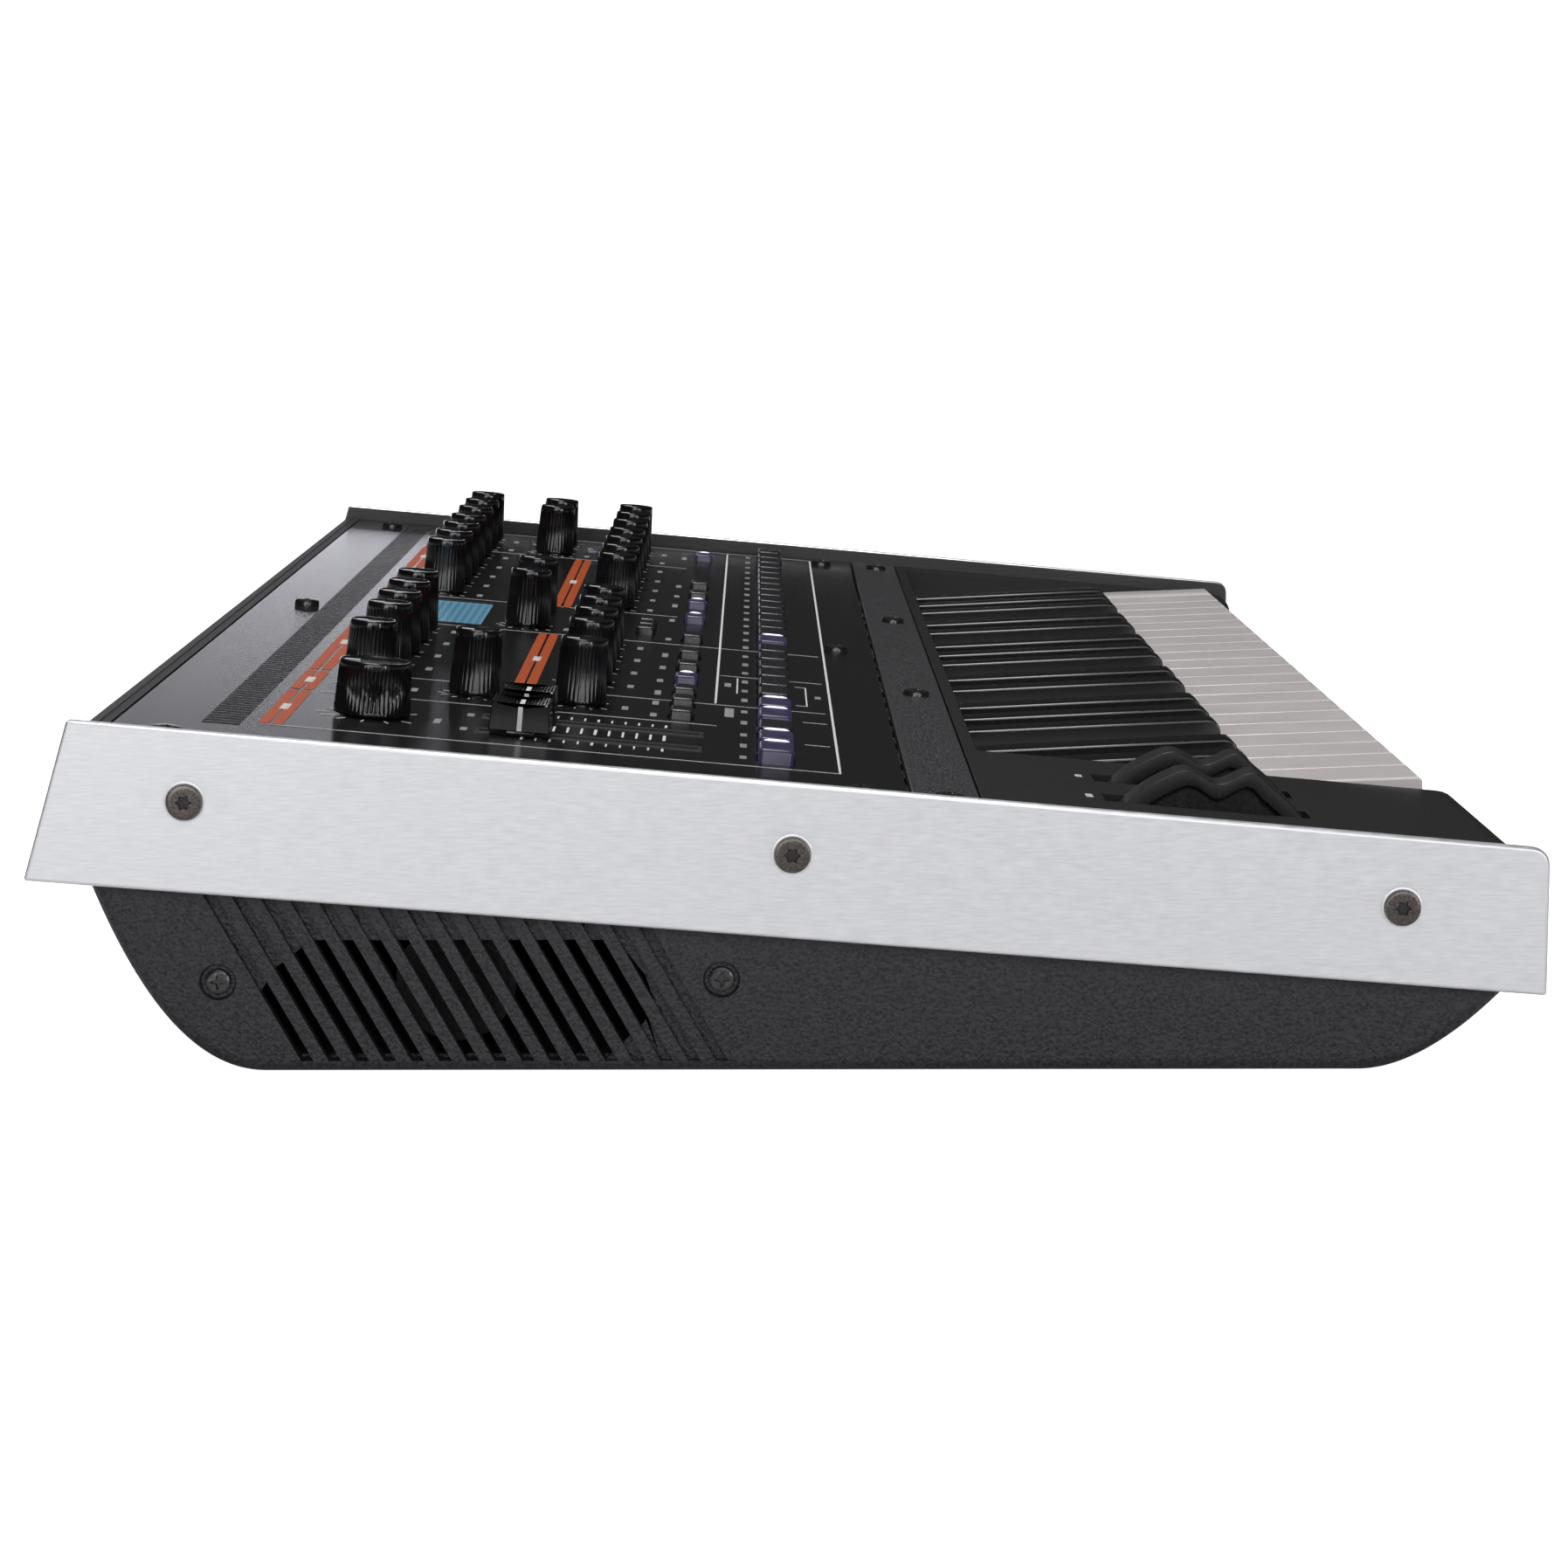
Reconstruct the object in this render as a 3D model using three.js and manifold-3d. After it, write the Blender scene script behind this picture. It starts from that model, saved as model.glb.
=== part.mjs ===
// A desktop keyboard synthesizer with 37 slim keys, as an assembly of its real pieces.
// Millimetres. +X is the player's right, +Y the back, +Z up. The origin is the middle of
// the footprint, on the surface that the feet stand on. Heights are measured from the
// underside of the case, which stands on the feet.
import * as THREE from "three";
import { mergeVertices } from "three/addons/utils/BufferGeometryUtils.js";
import Module from "manifold-3d";

const wasm = await Module();
wasm.setup();

// ---- Driving dimensions ----

const GAP = 0.3; // between two pieces that touch
const RUNNING_GAP = 0.4; // radial, between a shaft and what it turns in

const BODY_WIDTH = 572; // over the outer faces of the end plates
const BODY_DEPTH = 300;
const DECK_HEIGHT = 54.95; // top of the control panel halfway between front and back
const DECK_RISE = 0.0888; // the deck climbs this much per millimetre towards the back

const FOOT_HEIGHT = 8;
const FOOT_RADIUS = 8;
const FOOT_SPREAD_X = 230; // from the middle to each foot
const FOOT_SPREAD_Y = 85;

const PLATE_THICKNESS = 3;
const PLATE_ABOVE_DECK = 4.05;
const PLATE_CORNER = 3.7; // rounding of the front top corner
const PLATE_REAR_LEAN = 9.2; // how far the rear edge leans out on its way down
const PLATE_REAR_BOTTOM = 39.7;
const PLATE_FRONT_BOTTOM = 16.4;
const PLATE_CHAMFER = 0.6;
const PLATE_SCREW_RADIUS = 3.55;
const PLATE_SCREW_HEIGHT = 1.6;
const PLATE_SCREW_DROP = 10; // below the deck, halfway down the plate

const CASE_INSET = 6; // the case's side walls stand this far inside the end plates
const CASE_WALL = 3;
const CASE_REAR_CURVE = 34.4; // run of the curve from the floor to the rear wall
const CASE_REAR_RISE = 38.8;
const CASE_FRONT_CURVE = 28.3;
const CASE_FRONT_RISE = 15.7;
const CASE_REAR_INSET = 11.6;
const CASE_FRONT_INSET = 7.7;
const CASE_SCREW_RADIUS = 3.6; // the recess around each side screw
const CASE_SCREW_RECESS = 1.2;

const VENT_COUNT = 16;
const VENT_PITCH = 5.5;
const VENT_WIDTH = 2.5;
const VENT_FROM_REAR = 55.8; // from the back of the body to the foot of the last slot
const VENT_LEAN = 0.563; // run of a slot towards the back for each millimetre it climbs
const VENT_BOTTOM = 2.3;
const VENT_TOP = 40;
const VENT_DEPTH = 1.6; // depth of the grooves that cross the wall
const SOUND_OPENING = { rear: 57, front: 121, bottom: 7, top: 27.5 };

const PANEL_THICKNESS = 1.6;
const PANEL_FLANGE = 6;
const PANEL_REAR_INSET = 13.4; // from the back of the body to the panel's rear edge
const RAIL_DEPTH = 4;
const SHEET = 2; // metal of the rear panel and the front strip
const REAR_PANEL_BOTTOM = 40.3;

const KEY_WELL_DEPTH = 107.2; // from the front of the body to the rear of the key opening
const KEY_RAIL = 3; // bar behind the key opening
const STRIP_DEPTH = 14;
const SEAM = 0.9; // dark line between two panels

const SURROUND_WALL = 2.4;
const SURROUND_SKIRT = 5.5;
const SURROUND_ROUNDING = 5;
const CHEEK_WIDTH = 12.4;
const SLIP_THICKNESS = 3.6;
const SLIP_BOTTOM = 19;

// Heights of the keys, the slip and the key bed, from the deck at the back of the opening.
const WHITE_KEYS = 22;
const KEY_PITCH = 20.38;
const KEY_GAP = 0.35;
const BLACK_WIDTH = 10.5;
const BLACK_CLEARANCE = 0.9;
const WHITE_FRONT_INSET = 8; // from the front of the body to the front of the white keys
const WHITE_TOP_FRONT = -6.14;
const WHITE_TOP_REAR = -9.6;
const WHITE_SKIN = 3.4;
const WHITE_SKIRT = 13.2;
const BLACK_FRONT_INSET = 46;
const BLACK_TOP_FRONT = -2.54;
const BLACK_TOP_REAR = -5.3;
const BLACK_BOTTOM = -13.64;
const KEY_TAIL_TOP = -9.6;
const KEY_TAIL_BOTTOM = -17.94;
const KEY_TAIL_BEHIND = 3.4;
const PIVOT_FROM_FRONT = 138;
const PIVOT_DROP = 14.14;
const PIVOT_RADIUS = 2;

const WHEEL_RADIUS = 23.8;
const WHEEL_WIDTH = 10;
const WHEEL_PROUD = 8.3; // how far the rim stands over the deck
const WHEEL_FROM_FRONT = 62.5;
const WHEEL_REST_TURN = -0.1; // of the dip, from straight up towards the back
const WHEEL_SLOT_CLEARANCE = 1.4;
const WHEEL_SIDE_GAP = 0.9;
const PITCH_WHEEL_FROM_KEYS = 58.2;
const MOD_WHEEL_FROM_KEYS = 28.6;
const AXLE_RADIUS = 2;
const LUG_THICKNESS = 2.4;

const BOARD_DROP = 10.4; // from the deck to the top of the knob board
const BOARD_THICKNESS = 1.6;
const SHAFT_RADIUS = 3;
const KNOB_LIFT = 0.4;
const KNOB = { base: 6, top: 5.25, height: 15.2 };
const VOLUME_KNOB = { base: 8.25, top: 7.65, height: 12, x: -208.4, s: 88.7 };
const VALUE_KNOB_PLACE = { x: 33.5, s: 66.5 };
const KNOB_COLUMNS = [-158.2, -116.3, -88.6, -60.8, -33.1, 65.6, 94.8, 123.9, 154, 186.4, 216, 245.5];
const KNOB_ROWS = [46.2, 93.9];
const LONE_KNOBS = [
  [-158.2, 70],
  [-3.5, 66.5],
  [216.5, 70],
  [244.5, 70],
];
const POT = { width: 10, depth: 11, height: 6.2 };

const FADER_X = [-217, -193.5];
const FADER_SLOT = { width: 4.6, front: 18.6, rear: 65 };
const FADER_CAP = { width: 12.7, depth: 13, edge: 7.5, valley: 6.4, lift: 1.1 };
const FADER_REST = 56.4;
const FADER_STEM = { width: 3, depth: 6 };

const DISPLAY = { left: -9, right: 48, front: 78.7, rear: 104.5, sink: 0.4 };

const STEP_BUTTON = { width: 14.6, depth: 7.4, height: 3.2 };
const FUNCTION_BUTTON = { width: 8.5, depth: 5.2, height: 2.2 };
const CURSOR_BUTTON = { width: 7, depth: 4.6, height: 2.2 };
const BUTTON_GAP = 0.35;
const STEP_BUTTON_ROW = 2;
const STEP_COUNT = 16;
const STEP_FIRST = -9;
const STEP_PITCH = 18.2;
const SCENE_BUTTONS = [-224, -205.3, -187.3, -166, -146.2, -124.2, -105.8, -87, -68.4, -49.5, -30.8];
const FUNCTION_ROW = 23.1;
const FUNCTION_BUTTONS = [-165.6, -143.4, -123.4, -99, -71.2, -43.4, -5, 44, 85, 113, 143.8, 240];
const CURSOR_ROW = 35.6;
const CURSOR_BUTTONS = [4, 15, 26];
const MAT_THICKNESS = 1.5;
const MAT_ABOVE_BOARD = 0.9;
const MAT_MARGIN = 3;

// Rear sockets, from the player's right to left: round ones state a radius.
const REAR_SOCKETS = [
  { x: 252, radius: 4.5 },
  { x: 226, half: [4.5, 4.2] },
  { x: 202, half: [6.8, 3.2] },
  { x: 170, radius: 7.6 },
  { x: 142, radius: 7.6 },
  { x: 96, radius: 4.8 },
  { x: 72, radius: 4.8 },
  { x: -150, radius: 4.8 },
  { x: -174, radius: 4.8 },
  { x: -214, radius: 4.8 },
];
const SOCKET_HEIGHT = 54;

const MAIN_BOARD = { left: -60, right: 200, front: 15, rear: 105, height: 7, post: 4 };

const SLIP_DROP = 15.14;
const KEY_BED_DROP = 32.64;
const KEY_BED_SHEET = 2.5;
const KEY_STOP = { front: 20, thickness: 2.5, height: 7 };

// ---- Values worked out from them ----

const half = BODY_WIDTH / 2;
const front = -BODY_DEPTH / 2;
const rear = BODY_DEPTH / 2;
const inner = half - PLATE_THICKNESS - GAP; // deck pieces reach this far each way
const caseHalf = half - CASE_INSET;
const slope = Math.atan(DECK_RISE);
const keysRight = inner - CHEEK_WIDTH;
const keysLeft = keysRight - WHITE_KEYS * KEY_PITCH;
const wellRear = front + KEY_WELL_DEPTH;
const surroundRear = wellRear + KEY_RAIL;
const stripFront = surroundRear + GAP;
const stripRear = stripFront + STRIP_DEPTH;
const panelFront = stripRear + SEAM;
const panelRear = rear - PANEL_REAR_INSET;
const pivotY = front + PIVOT_FROM_FRONT;
const caseRear = rear - CASE_REAR_INSET;
const caseFront = front + CASE_FRONT_INSET;

// Height of a plane parallel to the deck, h above it, at depth y.
function deckZ(y, h = 0) {
  return DECK_HEIGHT + y * DECK_RISE + h / Math.cos(slope);
}

// Distance up the slope of the deck for a point of it at depth y.
function alongDeck(y) {
  return y / Math.cos(slope);
}

const keyDatum = deckZ(wellRear);
const pivotZ = keyDatum - PIVOT_DROP;
const keyBedTop = keyDatum - KEY_BED_DROP;
const wheelSink = WHEEL_RADIUS - WHEEL_PROUD; // axle below the deck
const wheelY = front + WHEEL_FROM_FRONT;
const wheelZ = deckZ(wheelY, -wheelSink);
const wheelChord = Math.sqrt(WHEEL_RADIUS ** 2 - (wheelSink - SURROUND_WALL) ** 2);
const wheelSlotHalf = wheelChord + WHEEL_SLOT_CLEARANCE;

// ---- Materials ----

function finish(color, roughness, metalness = 0) {
  return new THREE.MeshStandardMaterial({ color, roughness, metalness });
}
const brushedAluminium = finish(0xc9c9cc, 0.35, 1);
const texturedPlastic = finish(0x1b1b1d, 0.75);
const panelBlack = finish(0x121214, 0.35, 0.2);
const brushedDark = finish(0x47464a, 0.4, 0.8);
const mattePlastic = finish(0x1d1d1f, 0.6);
const keyWhite = finish(0xd9d3d1, 0.35);
const glossBlack = finish(0x0a0a0b, 0.25);
const steel = finish(0xa9aaad, 0.3, 1);
const circuitGreen = finish(0x1f5138, 0.6);
const displayGlass = finish(0x2f6f96, 0.15);
const litSilicone = finish(0x2b2640, 0.5);
const rubberBlack = finish(0x161616, 0.9);
const frameGrey = finish(0x55575a, 0.7);

// ---- Solid modelling ----

// A closed geometry as a solid that can be joined and cut.
function solid(geometry) {
  const bare = geometry.index ? geometry.toNonIndexed() : geometry.clone();
  bare.deleteAttribute("normal");
  bare.deleteAttribute("uv");
  const merged = mergeVertices(bare, 1e-4);
  return new wasm.Manifold(
    new wasm.Mesh({
      numProp: 3,
      vertProperties: merged.attributes.position.array,
      triVerts: new Uint32Array(merged.index.array),
    }),
  );
}

function geometryOf(manifold) {
  const mesh = manifold.getMesh();
  const geometry = new THREE.BufferGeometry();
  geometry.setAttribute("position", new THREE.BufferAttribute(mesh.vertProperties, 3));
  geometry.setIndex(new THREE.BufferAttribute(mesh.triVerts, 1));
  return geometry;
}

function join(solids) {
  return solids.reduce((whole, part) => whole.add(part));
}

function block(x0, x1, y0, y1, z0, z1) {
  const box = new THREE.BoxGeometry(x1 - x0, y1 - y0, z1 - z0);
  return solid(box.translate((x0 + x1) / 2, (y0 + y1) / 2, (z0 + z1) / 2));
}

function centredBlock(x, y, width, depth, z0, z1) {
  return block(x - width / 2, x + width / 2, y - depth / 2, y + depth / 2, z0, z1);
}

// A shape in the side view (its x is Y and its y is Z), swept from x0 to x1.
function sideSweep(shape, x0, x1, curveSegments = 6) {
  const geometry = new THREE.ExtrudeGeometry(shape, {
    depth: x1 - x0,
    bevelEnabled: false,
    curveSegments,
  });
  geometry.applyMatrix4(
    new THREE.Matrix4().makeBasis(
      new THREE.Vector3(0, 1, 0),
      new THREE.Vector3(0, 0, 1),
      new THREE.Vector3(1, 0, 0),
    ),
  );
  return solid(geometry.translate(x0, 0, 0));
}

function polygon(points) {
  return new THREE.Shape(points.map(([a, b]) => new THREE.Vector2(a, b)));
}

function rectangle(a0, a1, b0, b1) {
  return polygon([
    [a0, b0],
    [a1, b0],
    [a1, b1],
    [a0, b1],
  ]);
}

function upright(radius, x, y, z0, z1, sides, topRadius = radius) {
  const cylinder = new THREE.CylinderGeometry(topRadius, radius, z1 - z0, sides);
  return solid(cylinder.rotateX(Math.PI / 2).translate(x, y, (z0 + z1) / 2));
}

function rodAlongX(radius, y, z, x0, x1, sides) {
  const cylinder = new THREE.CylinderGeometry(radius, radius, x1 - x0, sides);
  return solid(cylinder.rotateZ(-Math.PI / 2).translate((x0 + x1) / 2, y, z));
}

function rodAlongY(radius, x, z, y0, y1, sides) {
  const cylinder = new THREE.CylinderGeometry(radius, radius, y1 - y0, sides);
  return solid(cylinder.translate(x, (y0 + y1) / 2, z));
}

const synthesizer = new THREE.Group();

// Everything that the feet carry.
const body = new THREE.Group();
body.position.z = FOOT_HEIGHT;
synthesizer.add(body);

// Everything that lies parallel to the control panel: here x is along the width, y climbs
// the slope and z stands square to the panel, whose top is z = 0.
const deck = new THREE.Group();
deck.position.z = DECK_HEIGHT;
deck.rotation.x = slope;
body.add(deck);

function piece(name, form, material, parent = body) {
  const mesh = new THREE.Mesh(geometryOf(form), material);
  mesh.name = name;
  parent.add(mesh);
  return mesh;
}

// ---- End plates: aluminium, each with three screws ----

function plateShape(shrink) {
  const top = PLATE_ABOVE_DECK - shrink;
  const rearTop = rear - PLATE_REAR_LEAN - shrink;
  const frontEdge = front + shrink;
  const shape = new THREE.Shape();
  shape.moveTo(rear - shrink, PLATE_REAR_BOTTOM + shrink);
  shape.lineTo(rearTop, deckZ(rearTop, top));
  shape.lineTo(frontEdge + PLATE_CORNER, deckZ(frontEdge + PLATE_CORNER, top));
  shape.quadraticCurveTo(frontEdge, deckZ(frontEdge, top), frontEdge, deckZ(frontEdge, top - PLATE_CORNER));
  shape.lineTo(frontEdge, PLATE_FRONT_BOTTOM + shrink);
  return shape;
}

const plateScrewDepths = [rear - 32, -1, front + 29];

function endPlate(side) {
  const inside = side * (half - PLATE_THICKNESS);
  const shoulder = side * (half - PLATE_CHAMFER);
  const outside = side * half;
  const slab = sideSweep(plateShape(0), Math.min(inside, shoulder), Math.max(inside, shoulder));
  const face = sideSweep(plateShape(PLATE_CHAMFER), Math.min(inside, outside), Math.max(inside, outside));
  const heads = plateScrewDepths.map((y) => {
    const tip = side * (half + PLATE_SCREW_HEIGHT);
    const z = deckZ(y, -PLATE_SCREW_DROP);
    return rodAlongX(PLATE_SCREW_RADIUS, y, z, Math.min(inside, tip), Math.max(inside, tip), 12);
  });
  return join([slab, face, ...heads]);
}

piece("left_end_plate", endPlate(-1), brushedAluminium);
piece("right_end_plate", endPlate(1), brushedAluminium);

// ---- Bottom case: one moulded tub with grooved side vents ----

// The tub's side view, drawn inset by the wall for its hollow.
function tubShape(inset, frontTop, rearTop) {
  const bottom = inset;
  const step = panelFront - SEAM;
  const back = caseRear - inset;
  const nose = caseFront + inset;
  const shape = new THREE.Shape();
  shape.moveTo(nose + CASE_FRONT_CURVE, bottom);
  shape.lineTo(back - CASE_REAR_CURVE, bottom);
  shape.quadraticCurveTo(back - 14.9, bottom, back, bottom + CASE_REAR_RISE);
  shape.lineTo(back, deckZ(back, rearTop));
  shape.lineTo(step, deckZ(step, rearTop));
  shape.lineTo(step, deckZ(step, frontTop));
  shape.lineTo(nose - 3.2, deckZ(nose - 3.2, frontTop));
  shape.lineTo(nose - 3.2, bottom + CASE_FRONT_RISE + 3.2);
  shape.lineTo(nose, bottom + CASE_FRONT_RISE);
  shape.quadraticCurveTo(nose + CASE_FRONT_RISE, bottom, nose + CASE_FRONT_CURVE, bottom);
  return shape;
}

const caseBelowPanel = -PANEL_THICKNESS - 0.8;
const caseBelowSkirt = -SURROUND_SKIRT - GAP;
const caseScrewPlaces = [
  [rear - 37, 18.3],
  [rear - 137, 18.7],
];

// One slanted slot, as a parallelogram in the side view.
function ventShape(index) {
  const foot = rear - VENT_FROM_REAR - index * VENT_PITCH;
  const run = (VENT_TOP - VENT_BOTTOM) * VENT_LEAN;
  return polygon([
    [foot, VENT_BOTTOM],
    [foot + VENT_WIDTH, VENT_BOTTOM],
    [foot + VENT_WIDTH + run, VENT_TOP],
    [foot + run, VENT_TOP],
  ]);
}

// Where the speaker sounds through: the slots go right through the wall inside this outline.
function soundShape() {
  const { rear: from, front: to, bottom, top } = SOUND_OPENING;
  const lean = (top - bottom) * VENT_LEAN;
  const shape = new THREE.Shape();
  shape.moveTo(rear - to, bottom);
  shape.lineTo(rear - from, bottom);
  shape.lineTo(rear - from + lean * 0.5, top - 6);
  shape.lineTo(rear - from - 3, top);
  shape.lineTo(rear - to + 6, top);
  shape.quadraticCurveTo(rear - to - 5, (top + bottom) / 2, rear - to, bottom);
  return shape;
}

function bottomCase() {
  const wall = caseHalf - CASE_WALL;
  let tub = sideSweep(tubShape(0, caseBelowSkirt, caseBelowPanel), -caseHalf, caseHalf);
  tub = tub.subtract(sideSweep(tubShape(CASE_WALL, 60, 60), -wall, wall));
  tub = tub.subtract(block(-wall, wall, front - 1, caseFront + 2 * CASE_WALL, SLIP_BOTTOM - GAP, 120));
  tub = tub.subtract(block(-wall, wall, caseRear - 2 * CASE_WALL, rear, PLATE_REAR_BOTTOM - 1.2, 120));
  for (const side of [-1, 1]) {
    const from = Math.min(side * wall, side * half);
    const to = Math.max(side * wall, side * half);
    const grooveFloor = caseHalf - VENT_DEPTH;
    const grooves = [];
    const slots = [];
    for (let i = 0; i < VENT_COUNT; i += 1) {
      const outer = [side * grooveFloor, side * half];
      grooves.push(sideSweep(ventShape(i), Math.min(...outer), Math.max(...outer)));
      slots.push(sideSweep(ventShape(i), from - 1, to + 1));
    }
    tub = tub.subtract(join(grooves));
    tub = tub.subtract(join(slots).intersect(sideSweep(soundShape(), from - 1, to + 1)));
    for (const y of plateScrewDepths) {
      const boss = [side * (wall + 1), side * (half - PLATE_THICKNESS - GAP)];
      const z = deckZ(y, -PLATE_SCREW_DROP);
      tub = tub.add(rodAlongX(4, y, z, Math.min(...boss), Math.max(...boss), 10));
    }
    for (const [y, z] of caseScrewPlaces) {
      const recess = [side * (caseHalf - CASE_SCREW_RECESS), side * half];
      tub = tub.subtract(
        rodAlongX(CASE_SCREW_RADIUS, y, z, Math.min(...recess), Math.max(...recess), 12),
      );
    }
  }
  return tub;
}

piece("bottom_case", bottomCase(), texturedPlastic);

for (const [name, x, y] of [
  ["foot_front_left", -1, -1],
  ["foot_front_right", 1, -1],
  ["foot_rear_left", -1, 1],
  ["foot_rear_right", 1, 1],
]) {
  const foot = upright(
    FOOT_RADIUS,
    x * FOOT_SPREAD_X,
    y * FOOT_SPREAD_Y,
    0,
    FOOT_HEIGHT - GAP,
    16,
    FOOT_RADIUS + 1,
  );
  piece(name, foot, rubberBlack, synthesizer);
}

// ---- Rear panel: folded sheet with the socket holes ----

function rearPanel() {
  const topY = rear - PLATE_REAR_LEAN + 0.4;
  const topZ = deckZ(topY);
  const footY = rear - 0.9;
  const footZ = REAR_PANEL_BOTTOM;
  const railFront = topY - RAIL_DEPTH;
  const wall = polygon([
    [footY, footZ],
    [topY, topZ],
    [topY - SHEET, topZ],
    [footY - SHEET, footZ],
  ]);
  const rail = polygon([
    [topY, topZ],
    [railFront, deckZ(railFront)],
    [railFront, deckZ(railFront, -PANEL_THICKNESS)],
    [topY - 0.5, deckZ(topY, -PANEL_THICKNESS)],
  ]);
  const lip = polygon([
    [footY, footZ],
    [footY - 0.6, footZ + SHEET],
    [caseRear + 0.4, footZ + SHEET],
    [caseRear + 0.4, footZ],
  ]);
  let panel = join([wall, rail, lip].map((shape) => sideSweep(shape, -inner, inner)));
  for (const { x, radius, half: size } of REAR_SOCKETS) {
    panel = panel.subtract(
      radius
        ? rodAlongY(radius, x, SOCKET_HEIGHT, rear - 20, rear + 5, 12)
        : block(x - size[0], x + size[0], rear - 20, rear + 5, SOCKET_HEIGHT - size[1], SOCKET_HEIGHT + size[1]),
    );
  }
  return panel;
}

piece("rear_panel", rearPanel(), panelBlack);

// ---- Control panel: sheet with holes for every knob, fader, button and the display ----

const knobPlaces = [
  ...KNOB_ROWS.flatMap((s) => KNOB_COLUMNS.map((x) => [x, s])),
  ...LONE_KNOBS,
];
const turningKnobPlaces = [
  [VOLUME_KNOB.x, VOLUME_KNOB.s],
  [VALUE_KNOB_PLACE.x, VALUE_KNOB_PLACE.s],
];
const buttons = [
  ...Array.from({ length: STEP_COUNT }, (_, i) => ({
    x: STEP_FIRST + i * STEP_PITCH,
    s: STEP_BUTTON_ROW,
    ...STEP_BUTTON,
  })),
  ...SCENE_BUTTONS.map((x) => ({ x, s: STEP_BUTTON_ROW, ...STEP_BUTTON })),
  ...FUNCTION_BUTTONS.map((x) => ({ x, s: FUNCTION_ROW, ...FUNCTION_BUTTON })),
  ...CURSOR_BUTTONS.map((x) => ({ x, s: CURSOR_ROW, ...CURSOR_BUTTON })),
];

function controlPanel() {
  const s0 = alongDeck(panelFront);
  const s1 = alongDeck(panelRear);
  const flange = inner - CASE_INSET;
  const sheet = join([
    block(-inner, inner, s0, s1, -PANEL_THICKNESS, 0),
    block(-flange, flange, s0, s0 + PANEL_THICKNESS, -PANEL_FLANGE, 0),
    block(-flange, flange, s1 - PANEL_THICKNESS, s1, -PANEL_FLANGE, 0),
  ]);
  const depth = [-PANEL_FLANGE - 1, 1];
  const holes = [...knobPlaces, ...turningKnobPlaces].map(([x, s]) =>
    upright(SHAFT_RADIUS + RUNNING_GAP, x, s, ...depth, 8),
  );
  for (const b of buttons)
    holes.push(centredBlock(b.x, b.s, b.width + 2 * BUTTON_GAP, b.depth + 2 * BUTTON_GAP, ...depth));
  for (const x of FADER_X) {
    const w = FADER_SLOT.width / 2;
    holes.push(block(x - w, x + w, FADER_SLOT.front, FADER_SLOT.rear, ...depth));
  }
  holes.push(
    block(
      DISPLAY.left - GAP,
      DISPLAY.right + GAP,
      DISPLAY.front - GAP,
      DISPLAY.rear + GAP,
      ...depth,
    ),
  );
  return sheet.subtract(join(holes));
}

piece("control_panel", controlPanel(), panelBlack, deck);

const displayBottom = -BOARD_DROP + GAP;
piece(
  "display",
  block(DISPLAY.left, DISPLAY.right, DISPLAY.front, DISPLAY.rear, displayBottom, -DISPLAY.sink),
  displayGlass,
  deck,
);

// ---- Knob board: circuit board with the potentiometers, fader bodies and small knobs ----

function shaftAndKnob(x, s, knob, shaftBottom, knobSides) {
  return join([
    upright(SHAFT_RADIUS, x, s, shaftBottom, KNOB_LIFT + 2, 6),
    upright(knob.base, x, s, KNOB_LIFT, knob.height, knobSides, knob.top),
  ]);
}

function knobBoard() {
  const boardBottom = -BOARD_DROP - BOARD_THICKNESS;
  const margin = POT.depth / 2 + 4;
  const s0 = alongDeck(pivotY + KEY_TAIL_BEHIND) + 4;
  const s1 = KNOB_ROWS[1] + margin;
  const x0 = Math.min(...SCENE_BUTTONS) - 14;
  const x1 = Math.max(...KNOB_COLUMNS) + 24;
  let board = block(x0, x1, s0, s1, boardBottom, -BOARD_DROP);
  for (const [x, s] of turningKnobPlaces) {
    const pot = centredBlock(x, s, POT.width, POT.depth, -BOARD_DROP - 0.5, -BOARD_DROP + POT.height);
    const bore = upright(SHAFT_RADIUS + RUNNING_GAP, x, s, -BOARD_DROP + 1, 0, 10);
    board = board.add(pot).subtract(bore);
  }
  for (const x of FADER_X) {
    const w = FADER_STEM.width / 2;
    const body = block(x - 4, x + 4, FADER_SLOT.front - 4, FADER_SLOT.rear + 4, -BOARD_DROP - 0.5, -4.2);
    const groove = block(
      x - w - 0.5,
      x + w + 0.5,
      FADER_SLOT.front - 1,
      FADER_SLOT.rear + 1,
      -BOARD_DROP + 1,
      0,
    );
    board = board.add(body).subtract(groove);
  }
  const knobs = knobPlaces.map(([x, s]) => shaftAndKnob(x, s, KNOB, -BOARD_DROP - 0.5, 10));
  return join([board, ...knobs]);
}

piece("knob_board", knobBoard(), circuitGreen, deck);

// ---- Knobs that turn ----

for (const [name, place, knob, sides] of [
  ["volume_knob", turningKnobPlaces[0], VOLUME_KNOB, 24],
  ["value_knob", turningKnobPlaces[1], KNOB, 16],
]) {
  const shaftBottom = -BOARD_DROP + 1 + GAP;
  const mesh = piece(name, shaftAndKnob(0, 0, knob, shaftBottom, sides), glossBlack, deck);
  mesh.position.set(place[0], place[1], 0);
}

// ---- Faders: a ridged cap on a stem ----

function faderCap() {
  const { width, depth, edge, valley, lift } = FADER_CAP;
  const d = depth / 2;
  const shape = new THREE.Shape();
  shape.moveTo(-d, lift);
  shape.lineTo(d, lift);
  shape.lineTo(d - 0.5, edge);
  shape.quadraticCurveTo(0, 2 * valley - edge, -d + 0.5, edge);
  const stem = centredBlock(0, 0, FADER_STEM.width, FADER_STEM.depth, -BOARD_DROP + 1 + GAP, lift + 1);
  return sideSweep(shape, -width / 2, width / 2, 8).add(stem);
}

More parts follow.
